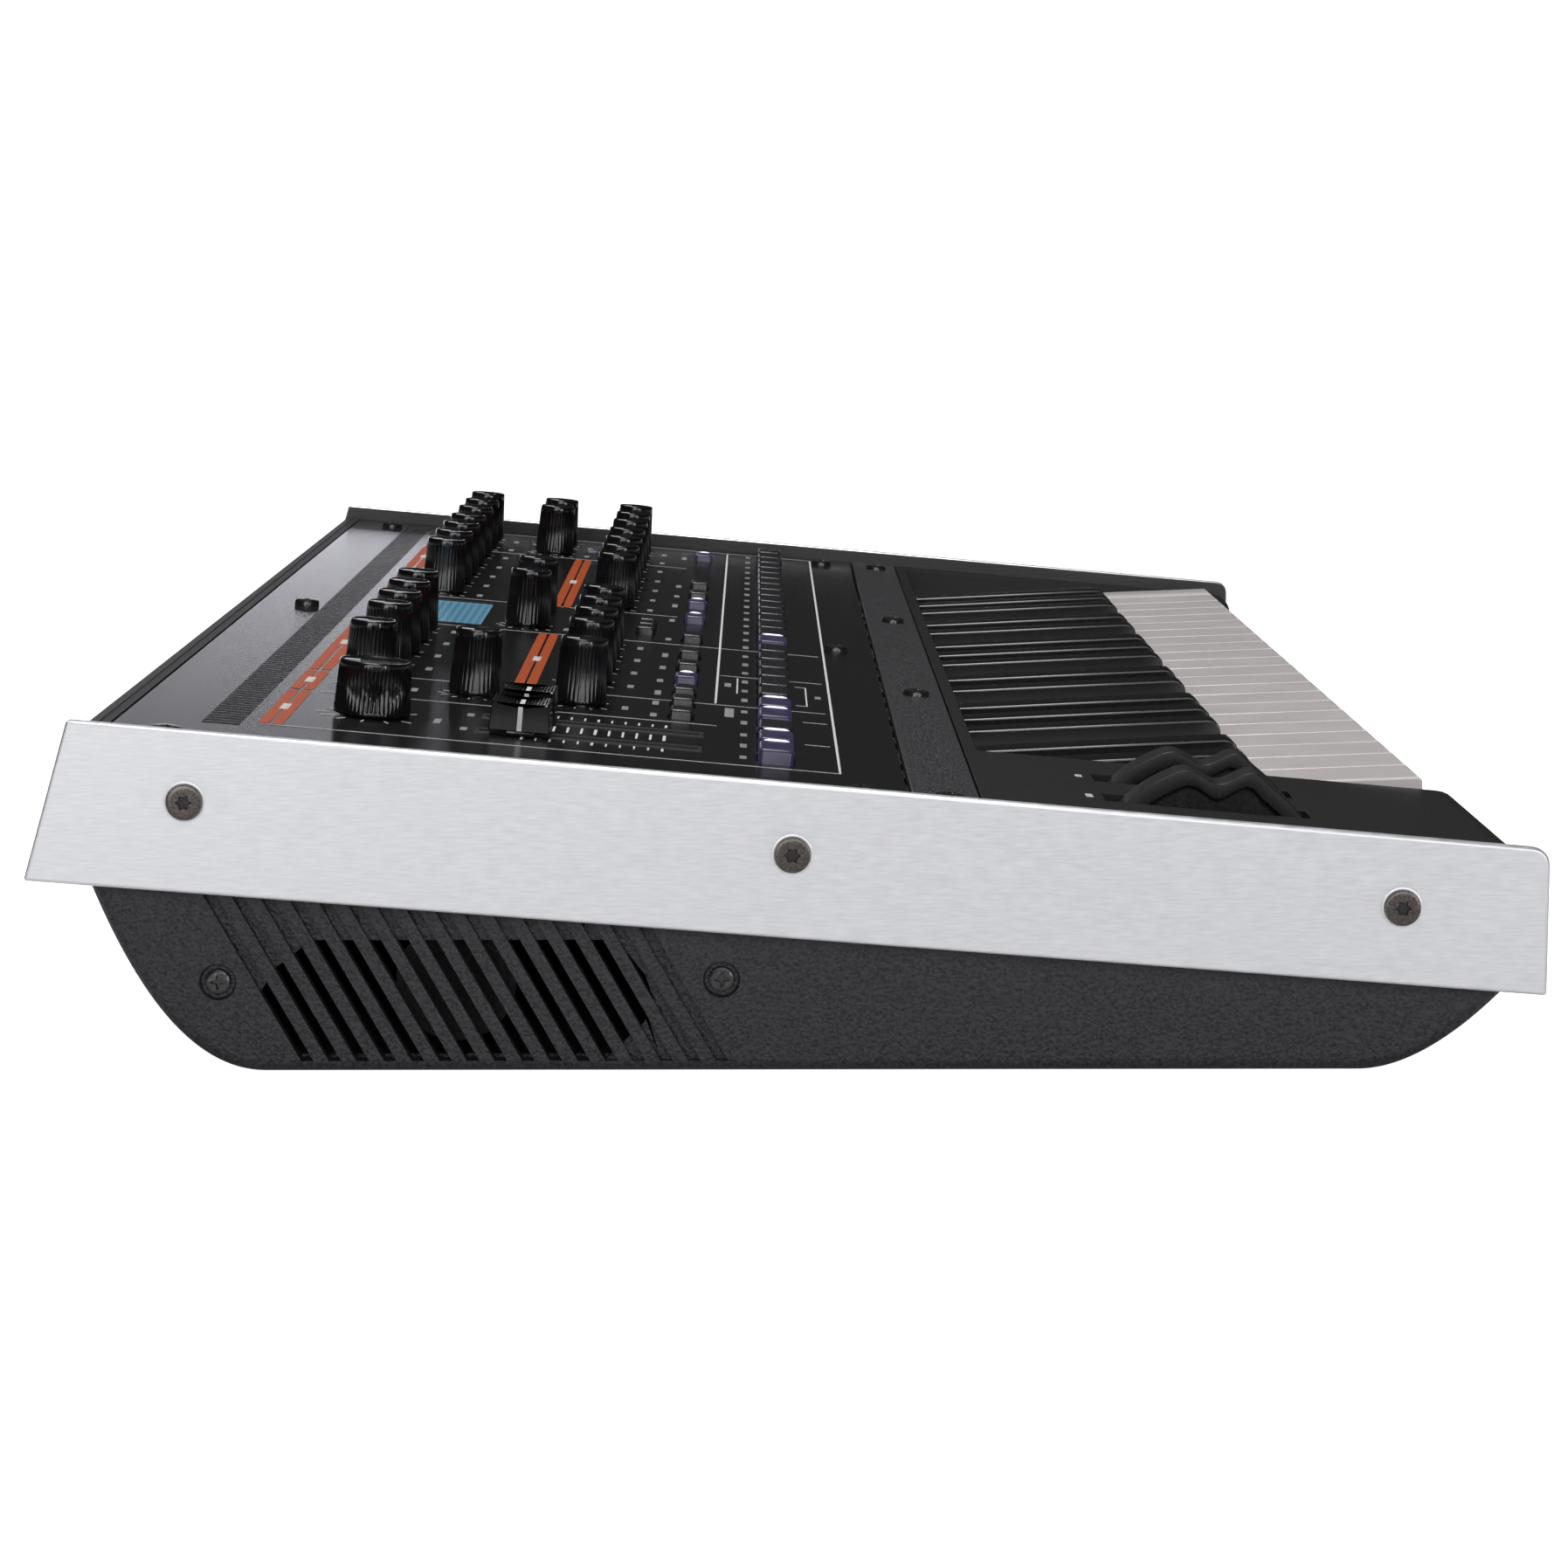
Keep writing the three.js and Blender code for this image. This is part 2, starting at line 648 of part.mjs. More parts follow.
FADER_X.forEach((x, i) => {
  const mesh = piece(i ? "fader_right" : "fader_left", faderCap(), glossBlack, deck);
  mesh.position.set(x, FADER_REST, 0);
});

// ---- Button mat: every push button, moulded on one sheet under the panel ----

function buttonMat() {
  const bottom = -BOARD_DROP + MAT_ABOVE_BOARD;
  const top = bottom + MAT_THICKNESS;
  function web(row) {
    const xs = row.map((b) => b.x);
    const reach = row[0].width / 2 + MAT_MARGIN;
    const deep = row[0].depth / 2 + MAT_MARGIN;
    const s = row[0].s;
    return block(Math.min(...xs) - reach, Math.max(...xs) + reach, s - deep, s + deep, bottom, top);
  }
  const rows = [STEP_BUTTON_ROW, FUNCTION_ROW, CURSOR_ROW].map((s) => buttons.filter((b) => b.s === s));
  const bridges = [
    block(-60, -50, STEP_BUTTON_ROW, FUNCTION_ROW, bottom, top),
    block(120, 130, STEP_BUTTON_ROW, FUNCTION_ROW, bottom, top),
    block(10, 20, FUNCTION_ROW, CURSOR_ROW, bottom, top),
  ];
  const keys = buttons.map((b) => centredBlock(b.x, b.s, b.width, b.depth, top - 0.5, b.height));
  return join([...rows.map(web), ...bridges, ...keys]);
}

piece("button_mat", buttonMat(), litSilicone, deck);

// ---- Front strip: dark brushed metal ----

function frontStrip() {
  const s0 = alongDeck(stripFront);
  const s1 = alongDeck(stripRear);
  const lip = inner - CASE_INSET;
  return join([
    block(-inner, inner, s0, s1, -SHEET, 0),
    block(-lip, lip, s0, s0 + SHEET, -PANEL_FLANGE, 0),
  ]);
}

piece("front_strip", frontStrip(), brushedDark, deck);

// ---- Keyboard surround: wheel block, front slip and right cheek in one moulding ----

// The top and front wall in the side view, with its rounded nose.
function surroundShell() {
  const face = front + GAP;
  const back = surroundRear;
  const r = SURROUND_ROUNDING;
  const w = SURROUND_WALL;
  const shape = new THREE.Shape();
  shape.moveTo(back, deckZ(back, -w));
  shape.lineTo(back, deckZ(back));
  shape.lineTo(face + r, deckZ(face + r));
  shape.quadraticCurveTo(face, deckZ(face), face, deckZ(face, -r));
  shape.lineTo(face, SLIP_BOTTOM);
  shape.lineTo(face + SLIP_THICKNESS, SLIP_BOTTOM);
  shape.lineTo(face + SLIP_THICKNESS, deckZ(face + SLIP_THICKNESS, -w - r / 2));
  shape.lineTo(face + r + 1, deckZ(face + r + 1, -w));
  return shape;
}

// A wall under the deck, down to height h below it.
function deckWall(y0, y1, h0, h1) {
  return polygon([
    [y0, deckZ(y0, h0)],
    [y1, deckZ(y1, h0)],
    [y1, deckZ(y1, h1)],
    [y0, deckZ(y0, h1)],
  ]);
}

const wheels = [
  { name: "pitch_wheel", x: keysLeft - PITCH_WHEEL_FROM_KEYS },
  { name: "mod_wheel", x: keysLeft - MOD_WHEEL_FROM_KEYS },
];
const lugPlaces = [
  wheels[0].x - WHEEL_WIDTH / 2 - LUG_THICKNESS - 2,
  (wheels[0].x + wheels[1].x - LUG_THICKNESS) / 2,
  wheels[1].x + WHEEL_WIDTH / 2 + 2,
];

function keyboardSurround() {
  const face = front + GAP;
  const blockRight = keysLeft - GAP;
  const cheekLeft = keysRight + GAP;
  const skirtFront = face + SLIP_THICKNESS - 1;
  const wallShape = polygon([
    [skirtFront, SLIP_BOTTOM + 1],
    [surroundRear, SLIP_BOTTOM + 1],
    [surroundRear, deckZ(surroundRear, -1)],
    [skirtFront, deckZ(skirtFront, -1)],
  ]);
  const skirt = deckWall(skirtFront, surroundRear, -1, -SURROUND_SKIRT);
  const skirtInside = caseHalf + GAP;
  const rail = deckWall(wellRear, surroundRear, 0, -PANEL_FLANGE + 1);
  const slipTop = keyDatum - SLIP_DROP;
  const slip = polygon([
    [face, SLIP_BOTTOM],
    [face + SLIP_THICKNESS, SLIP_BOTTOM],
    [face + SLIP_THICKNESS, slipTop],
    [face + 0.8, slipTop],
    [face, slipTop - 0.8],
  ]);
  let moulding = join([
    sideSweep(surroundShell(), -inner, blockRight),
    sideSweep(surroundShell(), cheekLeft, inner),
    sideSweep(wallShape, blockRight - SURROUND_WALL, blockRight),
    sideSweep(wallShape, cheekLeft, cheekLeft + SURROUND_WALL),
    sideSweep(skirt, -inner, -skirtInside),
    sideSweep(skirt, skirtInside, inner),
    sideSweep(rail, -inner, inner),
    sideSweep(slip, blockRight - 1, cheekLeft + 1),
  ]);
  const lugShape = deckWall(wheelY - 6, wheelY + 6, -1, -wheelSink - 6);
  for (const x of lugPlaces) moulding = moulding.add(sideSweep(lugShape, x, x + LUG_THICKNESS));
  for (const { x } of wheels) {
    const w = WHEEL_WIDTH / 2 + WHEEL_SIDE_GAP;
    moulding = moulding.subtract(
      block(x - w, x + w, wheelY - wheelSlotHalf, wheelY + wheelSlotHalf, wheelZ + 5, 90),
    );
  }
  const bore = rodAlongX(AXLE_RADIUS + GAP, wheelY, wheelZ, lugPlaces[0] - 1, lugPlaces[2] + 9, 12);
  return moulding.subtract(bore);
}

piece("keyboard_surround", keyboardSurround(), mattePlastic);

// ---- Wheels: a rim with two crests and a finger dip, on one steel axle ----

function wheelShape() {
  const steps = 60;
  const shape = new THREE.Shape();
  for (let i = 0; i < steps; i += 1) {
    const turn = (i / steps) * 2 * Math.PI - Math.PI;
    const along = turn - WHEEL_REST_TURN;
    const frontCrest = 1.45 * Math.exp(-(((along + 0.295) / 0.13) ** 2));
    const rearCrest = 0.55 * Math.exp(-(((along - 0.295) / 0.14) ** 2));
    const dip = 2.95 * Math.exp(-((along / 0.2) ** 2));
    const r = WHEEL_RADIUS + frontCrest + rearCrest - dip;
    const point = [r * Math.sin(turn), r * Math.cos(turn)];
    if (i) shape.lineTo(...point);
    else shape.moveTo(...point);
  }
  return shape;
}

for (const { name, x } of wheels) {
  const rim = sideSweep(wheelShape(), -WHEEL_WIDTH / 2, WHEEL_WIDTH / 2);
  const bore = rodAlongX(AXLE_RADIUS + RUNNING_GAP, 0, 0, -WHEEL_WIDTH, WHEEL_WIDTH, 12);
  const mesh = piece(name, rim.subtract(bore), mattePlastic);
  mesh.position.set(x, wheelY, wheelZ);
}

piece(
  "wheel_axle",
  rodAlongX(AXLE_RADIUS, wheelY, wheelZ, lugPlaces[0] - 1, lugPlaces[2] + LUG_THICKNESS + 1, 12),
  steel,
);

// ---- Key bed: frame with the pivot ridge that the keys rock on ----

function keyBed() {
  const x0 = keysLeft + 1;
  const x1 = keysRight - 1;
  const under = keyBedTop - KEY_BED_SHEET;
  const bedFront = front + KEY_STOP.front;
  const bedRear = pivotY + 8;
  const stopBack = bedFront + KEY_STOP.thickness;
  const base = polygon([
    [bedFront, under],
    [bedRear - KEY_BED_SHEET, under],
    [bedRear - KEY_BED_SHEET, CASE_WALL + GAP],
    [bedRear, CASE_WALL + GAP],
    [bedRear, keyBedTop],
    [stopBack, keyBedTop],
    [stopBack, keyBedTop + KEY_STOP.height],
    [bedFront, keyBedTop + KEY_STOP.height],
  ]);
  const legFront = front + 42;
  const ridge = rectangle(pivotY - 1, pivotY + 1, keyBedTop - 1, pivotZ);
  const leg = rectangle(legFront, legFront + KEY_BED_SHEET, CASE_WALL + GAP, under + 1);
  const rod = rodAlongX(PIVOT_RADIUS, pivotY, pivotZ, x0, x1, 12);
  return join([...[base, ridge, leg].map((shape) => sideSweep(shape, x0, x1)), rod]);
}

piece("key_bed", keyBed(), frameGrey);

// ---- Main board ----

function mainBoard() {
  const { left, right, front: y0, rear: y1, height, post } = MAIN_BOARD;
  const posts = [left + 8, right - 8].flatMap((x) =>
    [y0 + 8, y1 - 8].map((y) => upright(post, x, y, CASE_WALL + GAP, height + 1, 8)),
  );
  return join([block(left, right, y0, y1, height, height + BOARD_THICKNESS), ...posts]);
}

piece("main_board", mainBoard(), circuitGreen);

// ---- Keys: each rocks on the ridge by a notch in its tail ----

// The tail behind the key opening, with the notch that sits over the pivot rod.
function tailEnd(shape) {
  const behind = pivotY + KEY_TAIL_BEHIND;
  const notch = PIVOT_RADIUS + RUNNING_GAP;
  const top = keyDatum + KEY_TAIL_TOP;
  const bottom = keyDatum + KEY_TAIL_BOTTOM;
  shape.lineTo(wellRear - 1.7, top);
  shape.lineTo(behind, top);
  shape.lineTo(behind, bottom);
  shape.lineTo(pivotY + notch, bottom);
  shape.lineTo(pivotY + notch, pivotZ);
  shape.absarc(pivotY, pivotZ, notch, 0, Math.PI, false);
  shape.lineTo(pivotY - notch, bottom);
}

function whiteShape() {
  const nose = front + WHITE_FRONT_INSET;
  const top = keyDatum + WHITE_TOP_FRONT;
  const topRear = keyDatum + WHITE_TOP_REAR;
  const skirt = top - WHITE_SKIRT;
  const shape = new THREE.Shape();
  shape.moveTo(nose + 2.6, top - WHITE_SKIN);
  shape.lineTo(nose + 2.6, skirt);
  shape.lineTo(nose, skirt);
  shape.lineTo(nose, top - 0.8);
  shape.lineTo(nose + 0.8, top);
  shape.lineTo(wellRear - 1.7, topRear);
  tailEnd(shape);
  shape.lineTo(wellRear - 12, keyDatum + KEY_TAIL_BOTTOM);
  shape.lineTo(wellRear - 16, topRear - WHITE_SKIN - 0.5);
  return shape;
}

function blackShape() {
  const nose = front + BLACK_FRONT_INSET;
  const top = keyDatum + BLACK_TOP_FRONT;
  const bottom = keyDatum + BLACK_BOTTOM;
  const shape = new THREE.Shape();
  shape.moveTo(nose - 1.5, bottom);
  shape.lineTo(nose - 1.2, top - 3);
  shape.quadraticCurveTo(nose - 1, top, nose + 2, top);
  shape.lineTo(wellRear - 1.7, keyDatum + BLACK_TOP_REAR);
  tailEnd(shape);
  shape.lineTo(wellRear - 12, keyDatum + KEY_TAIL_BOTTOM);
  shape.lineTo(wellRear - 14, bottom);
  return shape;
}

// Offsets of the black keys from the joint of their white neighbours, by note of the octave.
const blackAfter = new Map([
  [0, -1.9],
  [1, 1.9],
  [3, -2.5],
  [4, 0],
  [5, 2.5],
]);
const noteNames = ["c", "d", "e", "f", "g", "a", "b"];
const FIRST_OCTAVE = 3;

const blackCentres = new Map();
for (let i = 0; i < WHITE_KEYS - 1; i += 1) {
  const offset = blackAfter.get(i % 7);
  if (offset !== undefined) blackCentres.set(i, keysLeft + (i + 1) * KEY_PITCH + offset);
}

for (let i = 0; i < WHITE_KEYS; i += 1) {
  const x0 = keysLeft + i * KEY_PITCH + KEY_GAP / 2;
  const x1 = x0 + KEY_PITCH - KEY_GAP;
  const name = noteNames[i % 7] + (FIRST_OCTAVE + Math.floor(i / 7));
  let key = sideSweep(whiteShape(), x0, x1, 4);
  for (const j of [i - 1, i]) {
    if (!blackCentres.has(j)) continue;
    const x = blackCentres.get(j);
    const w = BLACK_WIDTH / 2 + BLACK_CLEARANCE;
    const notchFront = front + BLACK_FRONT_INSET - 1.5 - BLACK_CLEARANCE;
    key = key.subtract(block(x - w, x + w, notchFront, pivotY + 10, 0, 100));
  }
  piece("key_" + name, key, keyWhite);
}

for (const [i, x] of blackCentres) {
  const name = noteNames[i % 7] + "_sharp" + (FIRST_OCTAVE + Math.floor(i / 7));
  const key = sideSweep(blackShape(), x - BLACK_WIDTH / 2, x + BLACK_WIDTH / 2, 4);
  piece("key_" + name, key, glossBlack);
}

export default synthesizer;
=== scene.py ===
import math

import bmesh
import bpy
from mathutils import Matrix, Vector


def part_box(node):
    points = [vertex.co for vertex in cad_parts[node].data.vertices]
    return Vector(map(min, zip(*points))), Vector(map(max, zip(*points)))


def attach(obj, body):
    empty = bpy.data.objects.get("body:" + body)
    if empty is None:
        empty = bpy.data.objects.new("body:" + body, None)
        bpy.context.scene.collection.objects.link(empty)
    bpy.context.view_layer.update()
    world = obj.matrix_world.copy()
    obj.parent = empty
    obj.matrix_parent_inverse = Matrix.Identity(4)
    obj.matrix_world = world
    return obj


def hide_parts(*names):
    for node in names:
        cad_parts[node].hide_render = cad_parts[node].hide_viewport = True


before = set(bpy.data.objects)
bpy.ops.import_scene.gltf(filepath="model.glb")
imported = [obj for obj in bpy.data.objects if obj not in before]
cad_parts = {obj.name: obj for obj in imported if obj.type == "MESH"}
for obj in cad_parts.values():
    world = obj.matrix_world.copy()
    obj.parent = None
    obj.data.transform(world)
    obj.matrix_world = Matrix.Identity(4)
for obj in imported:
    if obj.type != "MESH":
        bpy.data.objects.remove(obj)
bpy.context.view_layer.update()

# ---- Camera ----
# It stands at the player's left, a little over the deck, and looks along the width of the
# instrument, so that the left end plate is nearest.
camera_data = bpy.data.cameras.new("camera")
camera_data.lens = 95.54
camera_data.sensor_width = 36
camera_data.clip_start = 0.01
camera = bpy.data.objects.new("camera", camera_data)
bpy.context.scene.collection.objects.link(camera)
CAMERA_PITCH = 0.14033
CAMERA_YAW = -0.00657
sight = Vector((
    math.cos(CAMERA_PITCH) * math.cos(CAMERA_YAW),
    math.cos(CAMERA_PITCH) * math.sin(CAMERA_YAW),
    -math.sin(CAMERA_PITCH),
))
camera.location = (-1.09253, 0.00595, 0.18075)
camera.rotation_euler = sight.to_track_quat("-Z", "Y").to_euler()
bpy.context.scene.camera = camera
bpy.context.scene.view_settings.view_transform = "Standard"

# ---- Studio ----
# A pale floor under soft boxes: one behind the camera, one overhead, two low strips that
# the knobs mirror, and a card on the far side that the panel mirrors.
mm = 0.001


def new_object(name, mesh):
    obj = bpy.data.objects.new(name, mesh)
    bpy.context.scene.collection.objects.link(obj)
    return obj


def mesh_of(name, form):
    """The finished mesh of a bmesh, with its faces turned outwards."""
    bmesh.ops.recalc_face_normals(form, faces=form.faces)
    mesh = bpy.data.meshes.new(name)
    form.to_mesh(mesh)
    form.free()
    return mesh


def new_material(name, colour, roughness, metallic=0.0):
    material = bpy.data.materials.new(name)
    material.use_nodes = True
    shader = material.node_tree.nodes["Principled BSDF"]
    shader.inputs["Base Color"].default_value = (*colour, 1)
    shader.inputs["Roughness"].default_value = roughness
    shader.inputs["Metallic"].default_value = metallic
    return material, shader


def grain(material, scale, detail=3.0, per_axis=(1, 1, 1)):
    """A noise over the piece's own place, drawn out along an axis where its share is small."""
    nodes, links = material.node_tree.nodes, material.node_tree.links
    place = nodes.new("ShaderNodeTexCoord")
    mapping = nodes.new("ShaderNodeMapping")
    mapping.inputs["Scale"].default_value = per_axis
    noise = nodes.new("ShaderNodeTexNoise")
    noise.inputs["Scale"].default_value = scale
    noise.inputs["Detail"].default_value = detail
    links.new(place.outputs["Object"], mapping.inputs["Vector"])
    links.new(mapping.outputs["Vector"], noise.inputs["Vector"])
    return noise.outputs["Fac"]


def spread(material, source, target, low, high, span=(0.3, 0.7)):
    """Runs a number from low to high as the source crosses the span."""
    ramp = material.node_tree.nodes.new("ShaderNodeMapRange")
    ramp.inputs["From Min"].default_value = span[0]
    ramp.inputs["From Max"].default_value = span[1]
    ramp.inputs["To Min"].default_value = low
    ramp.inputs["To Max"].default_value = high
    material.node_tree.links.new(source, ramp.inputs["Value"])
    material.node_tree.links.new(ramp.outputs["Result"], target)


def tint(material, source, target, low, high, span=(0.3, 0.7)):
    """Runs a colour from low to high as the source crosses the span."""
    ramp = material.node_tree.nodes.new("ShaderNodeValToRGB")
    ramp.color_ramp.elements[0].position = span[0]
    ramp.color_ramp.elements[0].color = (*low, 1)
    ramp.color_ramp.elements[1].position = span[1]
    ramp.color_ramp.elements[1].color = (*high, 1)
    material.node_tree.links.new(source, ramp.inputs["Fac"])
    material.node_tree.links.new(ramp.outputs["Color"], target)


def relief(material, shader, source, depth, strength=1.0):
    """Raises the surface by the source, depth metres from its lowest to its highest."""
    bump = material.node_tree.nodes.new("ShaderNodeBump")
    bump.inputs["Strength"].default_value = strength
    bump.inputs["Distance"].default_value = depth
    material.node_tree.links.new(source, bump.inputs["Height"])
    material.node_tree.links.new(bump.outputs["Normal"], shader.inputs["Normal"])


def grained(name, colour, roughness, metallic=0.0, grain_of=(1500, 2), tints=None, rough=None,
            bumps=None, specular=None):
    """A material whose colour, roughness and relief all follow one grain."""
    material, shader = new_material(name, colour, roughness, metallic)
    source = grain(material, *grain_of)
    if tints:
        tint(material, source, shader.inputs["Base Color"], *tints)
    if rough:
        spread(material, source, shader.inputs["Roughness"], *rough)
    if bumps:
        relief(material, shader, source, *bumps)
    if specular is not None:
        shader.inputs["Specular IOR Level"].default_value = specular
    return material


FLOOR_REACH = 14
floor_form = bmesh.new()
bmesh.ops.create_grid(floor_form, x_segments=8, y_segments=8, size=FLOOR_REACH)
floor = new_object("floor", mesh_of("floor", floor_form))
floor_paper, paper_shader = new_material("floor_paper", (0.6, 0.6, 0.61), 0.85)
tint(floor_paper, grain(floor_paper, 3), paper_shader.inputs["Base Color"],
     (0.59, 0.59, 0.6), (0.61, 0.61, 0.62))
paper_shader.inputs["Emission Color"].default_value = (1, 1, 1, 1)
FLOOR_SEEN = 1.0
FLOOR_MIRRORED = 0.12
floor_path = floor_paper.node_tree.nodes.new("ShaderNodeLightPath")
spread(floor_paper, floor_path.outputs["Is Camera Ray"],
       paper_shader.inputs["Emission Strength"], FLOOR_MIRRORED, FLOOR_SEEN, (0, 1))
floor.data.materials.append(floor_paper)

WORLD_SEEN = 1.0
WORLD_MIRRORED = 0.025
world = bpy.data.worlds.new("studio")
bpy.context.scene.world = world
world.use_nodes = True
backdrop = world.node_tree.nodes["Background"]
backdrop.inputs["Color"].default_value = (1, 1, 1, 1)
world_path = world.node_tree.nodes.new("ShaderNodeLightPath")
spread(world, world_path.outputs["Is Camera Ray"], backdrop.inputs["Strength"],
       WORLD_MIRRORED, WORLD_SEEN, (0, 1))


def soft_box(name, place, towards, width, height, power, colour=(1, 1, 1)):
    data = bpy.data.lights.new(name, "AREA")
    data.shape = "RECTANGLE"
    data.size = width
    data.size_y = height
    data.energy = power
    data.color = colour
    lamp = bpy.data.objects.new(name, data)
    bpy.context.scene.collection.objects.link(lamp)
    lamp.location = place
    lamp.rotation_euler = (Vector(towards) - Vector(place)).to_track_quat("-Z", "Y").to_euler()
    lamp.visible_camera = False


soft_box("box_behind_camera", (-2.2, -0.1, 0.75), (-0.2, 0, 0.05), 1.5, 0.9, 13)
soft_box("box_overhead", (0.05, 0.12, 1.5), (0.05, 0, 0.05), 1.0, 0.5, 20)
soft_box("strip_low_right", (-1.5, -0.9, 0.26), (0, 0, 0.07), 0.2, 0.5, 3)
soft_box("strip_low_left", (-1.5, 0.5, 0.26), (0, 0, 0.07), 0.3, 0.5, 2.2)
soft_box("card_far_left", (1.7, 0.58, 0.15), (0.2, 0.1, 0.07), 0.8, 0.22, 1.9, (0.92, 0.92, 1))

# ---- End plates ----
# Each side is closed by a 3 mm aluminium plate, cut to the slope of the deck, brushed along
# its length and eased at its edges. Its side that faces the deck is dark, as painted shade.
DECK_RISE = 0.0888
PANEL_FLANGE = 6 * mm
slope = math.atan(DECK_RISE)
panel_low, panel_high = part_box("control_panel")
panel_rear = panel_high.y - PANEL_FLANGE * math.sin(slope)
deck_height = panel_high.z - panel_rear * DECK_RISE
deck = Matrix.Translation((0, 0, deck_height)) @ Matrix.Rotation(slope, 4, "X")

plate_low, plate_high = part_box("right_end_plate")
front, rear = plate_low.y, plate_high.y
case_low, case_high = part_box("bottom_case")
underside = case_low.z

PLATE_THICKNESS = 3 * mm
PLATE_SCREW_HEIGHT = 1.6 * mm
PLATE_ABOVE_DECK = 4.05 * mm
PLATE_CORNER = 3.7 * mm
PLATE_REAR_LEAN = 9.2 * mm
PLATE_REAR_BOTTOM = 39.7 * mm
PLATE_SCREW_DROP = 10 * mm
plate_face = plate_high.x - PLATE_SCREW_HEIGHT


def deck_z(y, above=0.0):
    """Height of a plane parallel to the deck, at depth y."""
    return deck_height + y * DECK_RISE + above / math.cos(slope)


def curve(start, pull, end, steps):
    """Points of a curve that leaves start towards pull and comes to end from it."""
    points = []
    for i in range(steps + 1):
        t = i / steps
        points.append(tuple(
            (1 - t) ** 2 * a + 2 * t * (1 - t) * b + t * t * c
            for a, b, c in zip(start, pull, end)
        ))
    return points


def skinned(name, rings, ends=True, hoop=False):
    """A body of quads between rings of equal count, with its ends closed or joined as a hoop."""
    form = bmesh.new()
    loops = [[form.verts.new(point) for point in ring] for ring in rings]
    if hoop:
        loops.append(loops[0])
    for one, two in zip(loops, loops[1:]):
        for i in range(len(one)):
            j = (i + 1) % len(one)
            form.faces.new((one[i], one[j], two[j], two[i]))
    if ends and not hoop:
        form.faces.new(loops[0])
        form.faces.new(loops[-1])
    return new_object(name, mesh_of(name, form))


def loft(name, sections):
    """A body through side views of equal count, each at its own x."""
    return skinned(name, [[(x, y, z) for y, z in outline] for x, outline in sections])


def eased(obj, width, segments=2, turn=25):
    """Rounds every edge that turns by more than the angle, by the width given."""
    form = bmesh.new()
    form.from_mesh(obj.data)
    edges = [e for e in form.edges if e.is_manifold and e.calc_face_angle(0) > math.radians(turn)]
    bmesh.ops.bevel(form, geom=edges, offset=width, offset_type="OFFSET", segments=segments,
                    profile=0.5, affect="EDGES", clamp_overlap=True)
    form.to_mesh(obj.data)
    form.free()
    return obj


def shaded(obj, limit=20):
    """Smooth shading, with a crease where a face turns sharply or a flat face ends."""
    form = bmesh.new()
    form.from_mesh(obj.data)
    for face in form.faces:
        face.smooth = True
    for edge in form.edges:
        flat = any(len(face.verts) > 4 for face in edge.link_faces)
        edge.smooth = edge.calc_face_angle(0) < math.radians(1 if flat else limit)
    form.to_mesh(obj.data)
    form.free()
    return obj


def settle(obj, material, body, slot, *nodes):
    """Gives a finished piece its material, body and the CAD nodes it stands for; the finish slot is
    not used.
    """
    if material:
        obj.data.materials.clear()
        obj.data.materials.append(material)
    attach(obj, body)
    if nodes:
        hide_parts(*nodes)
    return obj


aluminium = grained(
    "brushed_aluminium", (0.62, 0.625, 0.65), 0.42, 0.7, grain_of=(500, 2, (0.6, 0.5, 5)),
    tints=((0.66, 0.665, 0.69), (0.74, 0.745, 0.77)), rough=(0.38, 0.48),
    bumps=(0.015 * mm, 0.3),
)
# A dark copy of the brushed aluminium for the plates' inner faces: painted shade.
plate_inner_painted_shade = grained(
    "plate_inner_painted_shade", (0.045, 0.045, 0.048), 0.45, 0.3, grain_of=(500, 2, (0.6, 0.5, 5)),
    tints=((0.036, 0.036, 0.039), (0.055, 0.055, 0.058)),
)

plate_outline = [
    (rear, underside + PLATE_REAR_BOTTOM),
    (rear - PLATE_REAR_LEAN, deck_z(rear - PLATE_REAR_LEAN, PLATE_ABOVE_DECK)),
    *curve(
        (front + PLATE_CORNER, deck_z(front + PLATE_CORNER, PLATE_ABOVE_DECK)),
        (front, deck_z(front, PLATE_ABOVE_DECK)),
        (front, deck_z(front, PLATE_ABOVE_DECK - PLATE_CORNER)),
        10,
    ),
    (front, plate_low.z),
]
for side, name in ((-1, "left_end_plate"), (1, "right_end_plate")):
    plate = loft(name + "_brushed", [
        (side * (plate_face - PLATE_THICKNESS), plate_outline),
        (side * plate_face, plate_outline),
    ])
    eased(plate, 0.7 * mm, 3)
    settle(shaded(plate), aluminium, "root", "brushed_aluminium", name)
    # The faces towards the deck take the dark copy, as painted shade.
    plate.data.materials.append(plate_inner_painted_shade)
    for face in plate.data.polygons:
        if face.normal.x * side < -0.9:
            face.material_index = 1

# ---- Plate screws ----
# Three flat-headed steel screws with a six-lobed socket hold each plate to the case. Each
# head stands on the plate, over the bright rim of its hole.


def head_of(name, radius, height, lobes, socket, depth, rounding, dome=0.0):
    """A screw head that stands along +Z on z = 0, with a socket of so many lobes."""
    steps = lobes * 6
    turns = [2 * math.pi * i / steps for i in range(steps)]

    def ring(radii, z):
        return [(r * math.cos(a), r * math.sin(a), z) for r, a in zip(radii, turns)]

    low, high = socket
    sockets = [low + (high - low) * (0.5 + 0.5 * math.cos(lobes * a)) ** 1.6 for a in turns]
    rings = [
        ring([radius] * steps, -0.4 * mm),
        ring([radius] * steps, height - rounding),
        ring([radius - 0.3 * rounding] * steps, height - 0.3 * rounding),
        ring([radius - rounding] * steps, height),
        ring([(radius + high) / 2 - 0.1 * mm] * steps, height + 0.7 * dome),
        ring([s + 0.12 * mm for s in sockets], height + dome),
        ring(sockets, height + dome - 0.1 * mm),
        ring([s * 0.94 for s in sockets], height + dome - depth),
    ]
    return shaded(skinned(name, rings), 35)


